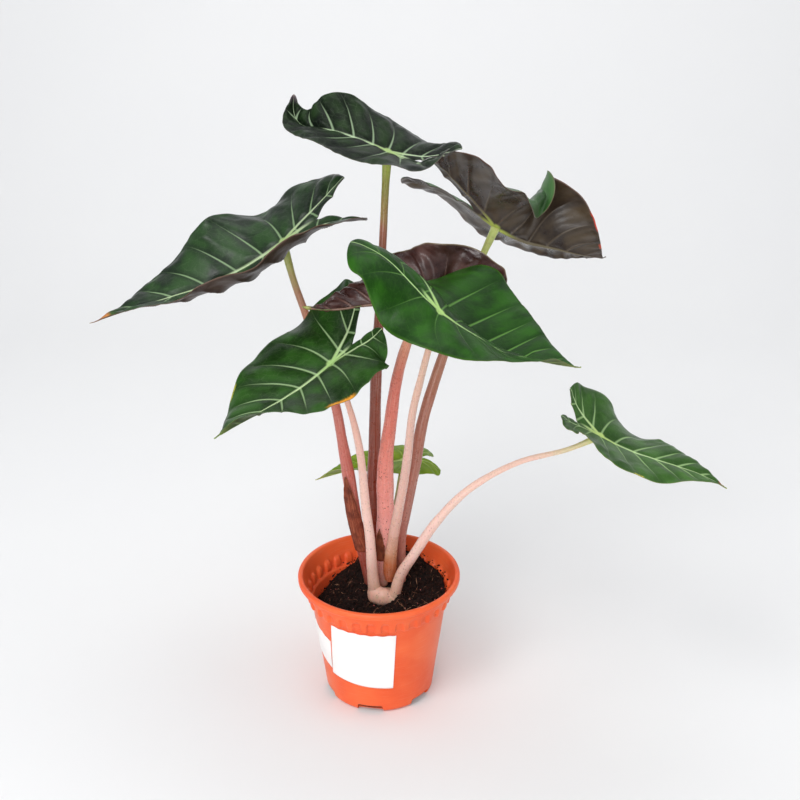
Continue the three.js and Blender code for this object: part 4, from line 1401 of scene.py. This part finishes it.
def peat_material():
    shader = Shader("peat")
    place = shader.place()
    coarse = shader.noise(place, 320, 5, 0.7)
    fine = shader.noise(place, 1500, 3, 0.7)
    earth = shader.ramp(coarse, ((0.32, "0c0706"), (0.5, "1e110d"), (0.64, "351d15"), (0.78, "54301f")))
    earth = shader.tint(earth, "6a4534", fine, 0.66, 0.76, 0.3)
    return shader.finish(
        Base_Color=earth,
        Roughness=0.9,
        Normal=shader.bump(fine, 0.0006, 0.7, shader.bump(coarse, 0.0014, 0.8)),
        Specular_IOR_Level=0.25,
    )


def add_peat(material):
    angles = np.arange(PEAT_SECTORS) * ROUND / PEAT_SECTORS
    rim = peat_top(angles, 1)
    side = [*PEAT_SIDE[:2], *((height, peat_reach(height)) for height in np.linspace(12, 76, 9))]
    side.append((rim - 1, peat_reach(rim - 1)))
    rows = [round_points(angles, radius, height) for height, radius in side]
    for share in np.linspace(1, 0.004, PEAT_RINGS):
        reach = share * peat_reach(rim)
        x, y = reach * np.cos(angles), reach * np.sin(angles)
        rows.append(np.stack([x, y, peat_height(x, y)], axis=1))
    points = np.vstack(rows + [[[0, 0, PEAT_SIDE[0][0]]], [[0, 0, peat_at(0.0, 0.0)]]])
    piece = add_piece("peat_bed", points, tube_faces(len(rows), PEAT_SECTORS), [material])
    stand_for(piece, "peat", "soil")


def lump(rng, centre, size):
    """A small uneven crumb: a pulled-about icosahedron."""
    golden = (1 + 5 ** 0.5) / 2
    corners = np.array([
        (-1, golden, 0), (1, golden, 0), (-1, -golden, 0), (1, -golden, 0), (0, -1, golden),
        (0, 1, golden), (0, -1, -golden), (0, 1, -golden), (golden, 0, -1), (golden, 0, 1),
        (-golden, 0, -1), (-golden, 0, 1),
    ]) / 1.9
    pulled = corners * rng.uniform(0.65, 1.35, (12, 1)) * np.array([1, rng.uniform(0.6, 1.1), 0.8])
    return (pulled * size) @ rotation(rng.uniform(0, ROUND), 2).T + centre


LUMP_FACES = [
    (0, 11, 5), (0, 5, 1), (0, 1, 7), (0, 7, 10), (0, 10, 11), (1, 5, 9), (5, 11, 4), (11, 10, 2),
    (10, 7, 6), (7, 1, 8), (3, 9, 4), (3, 4, 2), (3, 2, 6), (3, 6, 8), (3, 8, 9), (4, 9, 5),
    (2, 4, 11), (6, 2, 10), (8, 6, 7), (9, 8, 1),
]


def inner_wall(angle, height):
    """The pot's inner radius above the shoulder of its wall, flutes included."""
    crest = max(range(len(POT_OUTSIDE)), key=lambda row: POT_OUTSIDE[row][1])
    radii, heights, pressed = zip(*POT_OUTSIDE[:crest:-1])
    press = flute_press(angle, height) * np.interp(height, heights, pressed) * FLUTE_DEPTH
    return np.interp(height, heights, radii) - press


def scatter(rng, places, sizes):
    points, faces = [], []
    for place, size in zip(places, sizes):
        add_part(points, faces, lump(rng, place, size), LUMP_FACES)
    return points, faces


def strewn(rng, size):
    """A random place on the peat for a lump of some size."""
    angle = rng.uniform(0, ROUND)
    reach = (peat_reach(peat_top(angle, 1)) - size - 0.6) * rng.uniform() ** 0.5
    x, y = reach * math.cos(angle), reach * math.sin(angle)
    return x, y, peat_at(x, y) + 0.2 * size


def on_wall(rng, size):
    """A random place on the pot's inner wall, just above the peat's edge."""
    angle = rng.uniform(0, ROUND)
    height = float(peat_top(angle, 1)) - 0.8 + 5 * rng.uniform() ** 2.5
    reach = float(inner_wall(angle, height)) - 0.45 * size
    return reach * math.cos(angle), reach * math.sin(angle), height


def add_crumbs(material):
    rng = np.random.default_rng(11)
    sizes = [growing(CRUMB_SIZES, rng.uniform() ** 3) for _ in range(CRUMBS)]
    places = [strewn(rng, size) for size in sizes]
    wall_sizes = [growing(WALL_CRUMB_SIZES, rng.uniform() ** 2) for _ in range(WALL_CRUMBS)]
    places += [on_wall(rng, size) for size in wall_sizes]
    points, faces = scatter(rng, places, sizes + wall_sizes)
    piece = add_piece("peat_crumbs", points, faces, [material], smooth=False)
    stand_for(piece, "peat")


def clouded(name, scale, stops):
    """A matt material whose colour wanders through a ramp."""
    shader = Shader(name)
    skin = shader.ramp(shader.noise(shader.place(), scale, 3), stops)
    return shader.finish(Base_Color=skin, Roughness=0.7)


def add_granules():
    """Small red-pink grains of feed strewn over the peat."""
    rng = np.random.default_rng(31)
    sizes = [growing(GRANULE_SIZES, rng.uniform()) for _ in range(GRANULES)]
    places = [strewn(rng, size) for size in sizes]
    material = clouded("granule", 90, ((0.35, "8a3a30"), (0.5, "b8605a"), (0.65, "d08c80")))
    piece = add_piece("feed_granules", *scatter(rng, places, sizes), [material])
    stand_for(piece, "peat")


def thread(points, faces, path, radius, sides=5):
    """Adds a thin closed tube along a path to the lists of points and faces of a piece."""
    path = np.array(path)
    angles = np.arange(sides) * ROUND / sides
    taper = radius * (1 - 0.6 * np.linspace(-1, 1, len(path)) ** 4)
    tube = np.vstack([rings_round(path, angles, taper[:, None]), path[[0]], path[[-1]]])
    add_part(points, faces, tube, tube_faces(len(path), sides))


def add_fibres():
    rng = np.random.default_rng(23)
    points, faces = [], []
    for _ in range(FIBRES):
        angle, reach = rng.uniform(0, ROUND), FIBRE_REACH * rng.uniform() ** 0.5
        x, y = reach * math.cos(angle), reach * math.sin(angle)
        heading, bend = rng.uniform(0, ROUND), rng.uniform(-0.25, 0.25)
        step = rng.uniform(*FIBRE_LENGTHS) / FIBRE_STEPS
        path = []
        for i in range(FIBRE_STEPS + 1):
            if math.hypot(x, y) >= peat_reach(peat_top(math.atan2(y, x), 1)) - 1.2:
                break
            lift = 0.35 + math.sin(math.pi * i / FIBRE_STEPS)
            path.append((x, y, peat_at(x, y) + lift))
            x += math.cos(heading) * step
            y += math.sin(heading) * step
            heading += bend
        if len(path) > 4:
            thread(points, faces, path, rng.uniform(*FIBRE_RADII))
    material = clouded("root_fibre", 130, ((0.35, "2c1812"), (0.5, "6c4430"), (0.64, "b88c6c")))
    piece = add_piece("root_fibres", points, faces, [material])
    stand_for(piece, "peat")


# Dry scales at the feet of two stalks

# The stalk, the shares of its length that a scale covers, the way it faces and how far it goes round,
# in degrees, and its dark, middle and pale colours
SCALES = {
    "dry_sheath": ("petiole_1", (0.13, 0.34), -110, 230, ("5e281c", "96472f", "c07a58")),
    "dry_scale": ("petiole_4", (0.07, 0.17), -120, 100, ("5a2a1a", "90482c", "b4745a")),
}
SCALE_ROWS = 60
SCALE_COLUMNS = 54
SCALE_GAP = 1.0
SCALE_HALF_THICKNESS = 0.3


def dry_material(name, dark, middle, pale):
    shader = Shader(name)
    along, around, rim = shader.split(shader.attribute("scale_place"))
    grain = shader.streaks(along, around, (3, 34), 1.2, 4)
    cloud = shader.noise(shader.place(), 110, 4)
    skin = shader.ramp(grain, ((0.3, dark), (0.5, middle), (0.72, pale)))
    skin = shader.tint(skin, dark, cloud, 0.42, 0.66, 0.75)
    stains = shader.streaks(along, around, (2, 9), 1.0, 3, depth=3)
    skin = shader.tint(skin, "3c1810", stains, 0.52, 0.66, 0.6)
    skin = shader.tint(skin, pale, rim, 0.75, 1.0, 0.6)
    return shader.finish(
        Base_Color=skin,
        Roughness=0.72,
        Normal=shader.bump(grain, 0.0004, 0.8, shader.bump(cloud, 0.0006, 0.5)),
        Specular_IOR_Level=0.3,
    )


def add_scale(name, stalk, shares, facing, arc, tones):
    s = np.linspace(0, 1, SCALE_ROWS)
    centres, radii = course_points(STALKS[stalk], shares[0] + (shares[1] - shares[0]) * s)
    across = np.linspace(-1, 1, SCALE_COLUMNS + 1)
    ragged = 1 + 0.05 * np.sin(across * 23) + 0.04 * np.sin(across * 51 + 1)
    opening = arc / 2 * (1 - 0.5 * s) * (1 - 0.93 * s ** 3)
    wander = 1 + 0.05 * np.sin(s * 19) + 0.03 * np.sin(s * 47)
    s, opening, wander, radii = (values[:, None] for values in (s, opening, wander, radii))
    turn = np.radians(facing + opening * wander * across)
    crinkle = 0.28 * np.sin(turn * 17 + 4 * s) * (0.3 + 0.7 * s)
    curl = 0.9 * s ** 2 * np.abs(across) ** 3
    reach = radii + SCALE_GAP + 0.7 * s ** 2 + crinkle * 0.6 + curl
    points = round_points(turn, reach, (ragged - 1) * 22 * s ** 2)
    points = (points + centres[:, None]).reshape(-1, 3)
    half = np.full(len(points), SCALE_HALF_THICKNESS)
    shell, faces, _ = sheet_shell(points, grid_faces(SCALE_ROWS, SCALE_COLUMNS + 1), half, half)
    rim = np.maximum(np.abs(across) ** 2 * np.ones_like(s), s ** 4)
    place = np.stack(np.broadcast_arrays(s, across, rim), axis=-1).reshape(-1, 3)
    piece = add_piece(
        name + "_husk", shell, faces, [dry_material(name, *tones)],
        attributes={"scale_place": np.vstack([place, place])},
    )
    stand_for(piece, "dry_husk", name)


# Bare paper labels on the plain wall

# [degrees, height] of the foot's two corners, then of the head's
LABELS = {
    "label_front": (((-141, 34), (-76, 29)), ((-133, 93), (-75, 92))),
    "label_side": (((-183, 53), (-141.2, 39)), ((-183, 84), (-137.4, 72.5))),
}
LABEL_GAP = 0.42
LABEL_THICKNESS = 0.4
PAPER_HALF_THICKNESS = 0.09
LABEL_ROWS = 44
LABEL_COLUMNS = 100


def label_material():
    shader = Shader("label_paper")
    place = shader.place()
    cloud = shader.noise(place, 28, 4)
    paper = shader.ramp(cloud, ((0.3, "f2eeea"), (0.55, "fbf9f7"), (0.75, "fdfcfb")))
    paper = shader.tint(paper, "d9b9a6", shader.noise(place, 420, 4, 0.7), 0.66, 0.78, 0.35)
    paper = shader.tint(paper, "cdb7a8", shader.split(place)[2], 0.032, 0.029, 0.3)
    return shader.finish(
        Base_Color=paper,
        Roughness=shader.fade(cloud, 0.3, 0.7, 0.36, 0.5),
        Normal=shader.bump(shader.noise(place, 90, 3), 0.0005, 0.35),
        Coat_Weight=0.15,
        Coat_Roughness=0.25,
    )


def add_label(name, foot, head, material):
    up = np.linspace(0, 1, LABEL_ROWS + 1)[:, None]
    over = np.linspace(0, 1, LABEL_COLUMNS + 1)[None, :]
    corners = [np.array(pair, dtype=float) for pair in (*foot, *head)]
    degrees, height = (
        (corners[0][k] * (1 - over) + corners[1][k] * over) * (1 - up)
        + (corners[2][k] * (1 - over) + corners[3][k] * over) * up
        for k in range(2)
    )
    height = height + 0.35 * np.sin(over * 37) * up ** 6
    pucker = 0.1 * np.sin(over * 21 + 2 * up) * up ** 3 + 0.08 * np.sin(up * 9 + over * 5)
    radius = wall_radius(height) + LABEL_GAP + LABEL_THICKNESS / 2 - 0.1 + pucker
    points = round_points(np.radians(degrees), radius, height).reshape(-1, 3)
    half = np.full(len(points), PAPER_HALF_THICKNESS)
    shell, faces, _ = sheet_shell(points, grid_faces(LABEL_ROWS + 1, LABEL_COLUMNS + 1), half, half)
    piece = add_piece(name + "_sheet", shell, faces, [material])
    stand_for(piece, "label_paper", name)


# The studio, a paper sweep: flat up to its bend, then round up to a wall behind

FLOOR_DROP = 0.2
FLOOR_FRONT = -3000
FLOOR_HALF_WIDTH = 4000
BEND_START = 900
BEND_RADIUS = 800
BEND_STEPS = 12
WALL_TOP = 4200


def add_studio():
    shader = Shader("studio_floor")
    cloud = shader.noise(shader.place(), 3.0, 3)
    paper = shader.mix(cloud, tone("e8e8e8"), tone("ebebea"))
    material = shader.finish(Base_Color=paper, Roughness=0.8, Specular_IOR_Level=0.2)
    profile = [(FLOOR_FRONT, 0), (BEND_START, 0)]
    for k in range(1, BEND_STEPS + 1):
        angle = math.pi / 2 * k / BEND_STEPS
        height = BEND_RADIUS - BEND_RADIUS * math.cos(angle)
        profile.append((BEND_START + BEND_RADIUS * math.sin(angle), height))
    profile.append((BEND_START + BEND_RADIUS, WALL_TOP))
    points = [(x, y, z - FLOOR_DROP) for y, z in profile for x in (-FLOOR_HALF_WIDTH, FLOOR_HALF_WIDTH)]
    floor = add_piece("studio_sweep", points, grid_faces(len(profile), 2).tolist(), [material])


add_camera()
add_studio()
add_pot()
add_leaves()
for stalk_name, stalk_look in STALK_LOOKS.items():
    add_stalk(stalk_name, *stalk_look)
add_crown()
peat = peat_material()
add_peat(peat)
add_crumbs(peat)
add_granules()
add_fibres()
for scale_name, scale in SCALES.items():
    add_scale(scale_name, *scale)
paper = label_material()
for label_name, (label_foot, label_head) in LABELS.items():
    add_label(label_name, label_foot, label_head, paper)
for light in LIGHTS:
    add_area_light(*light)
add_world()
bpy.context.scene.view_settings.view_transform = "Standard"
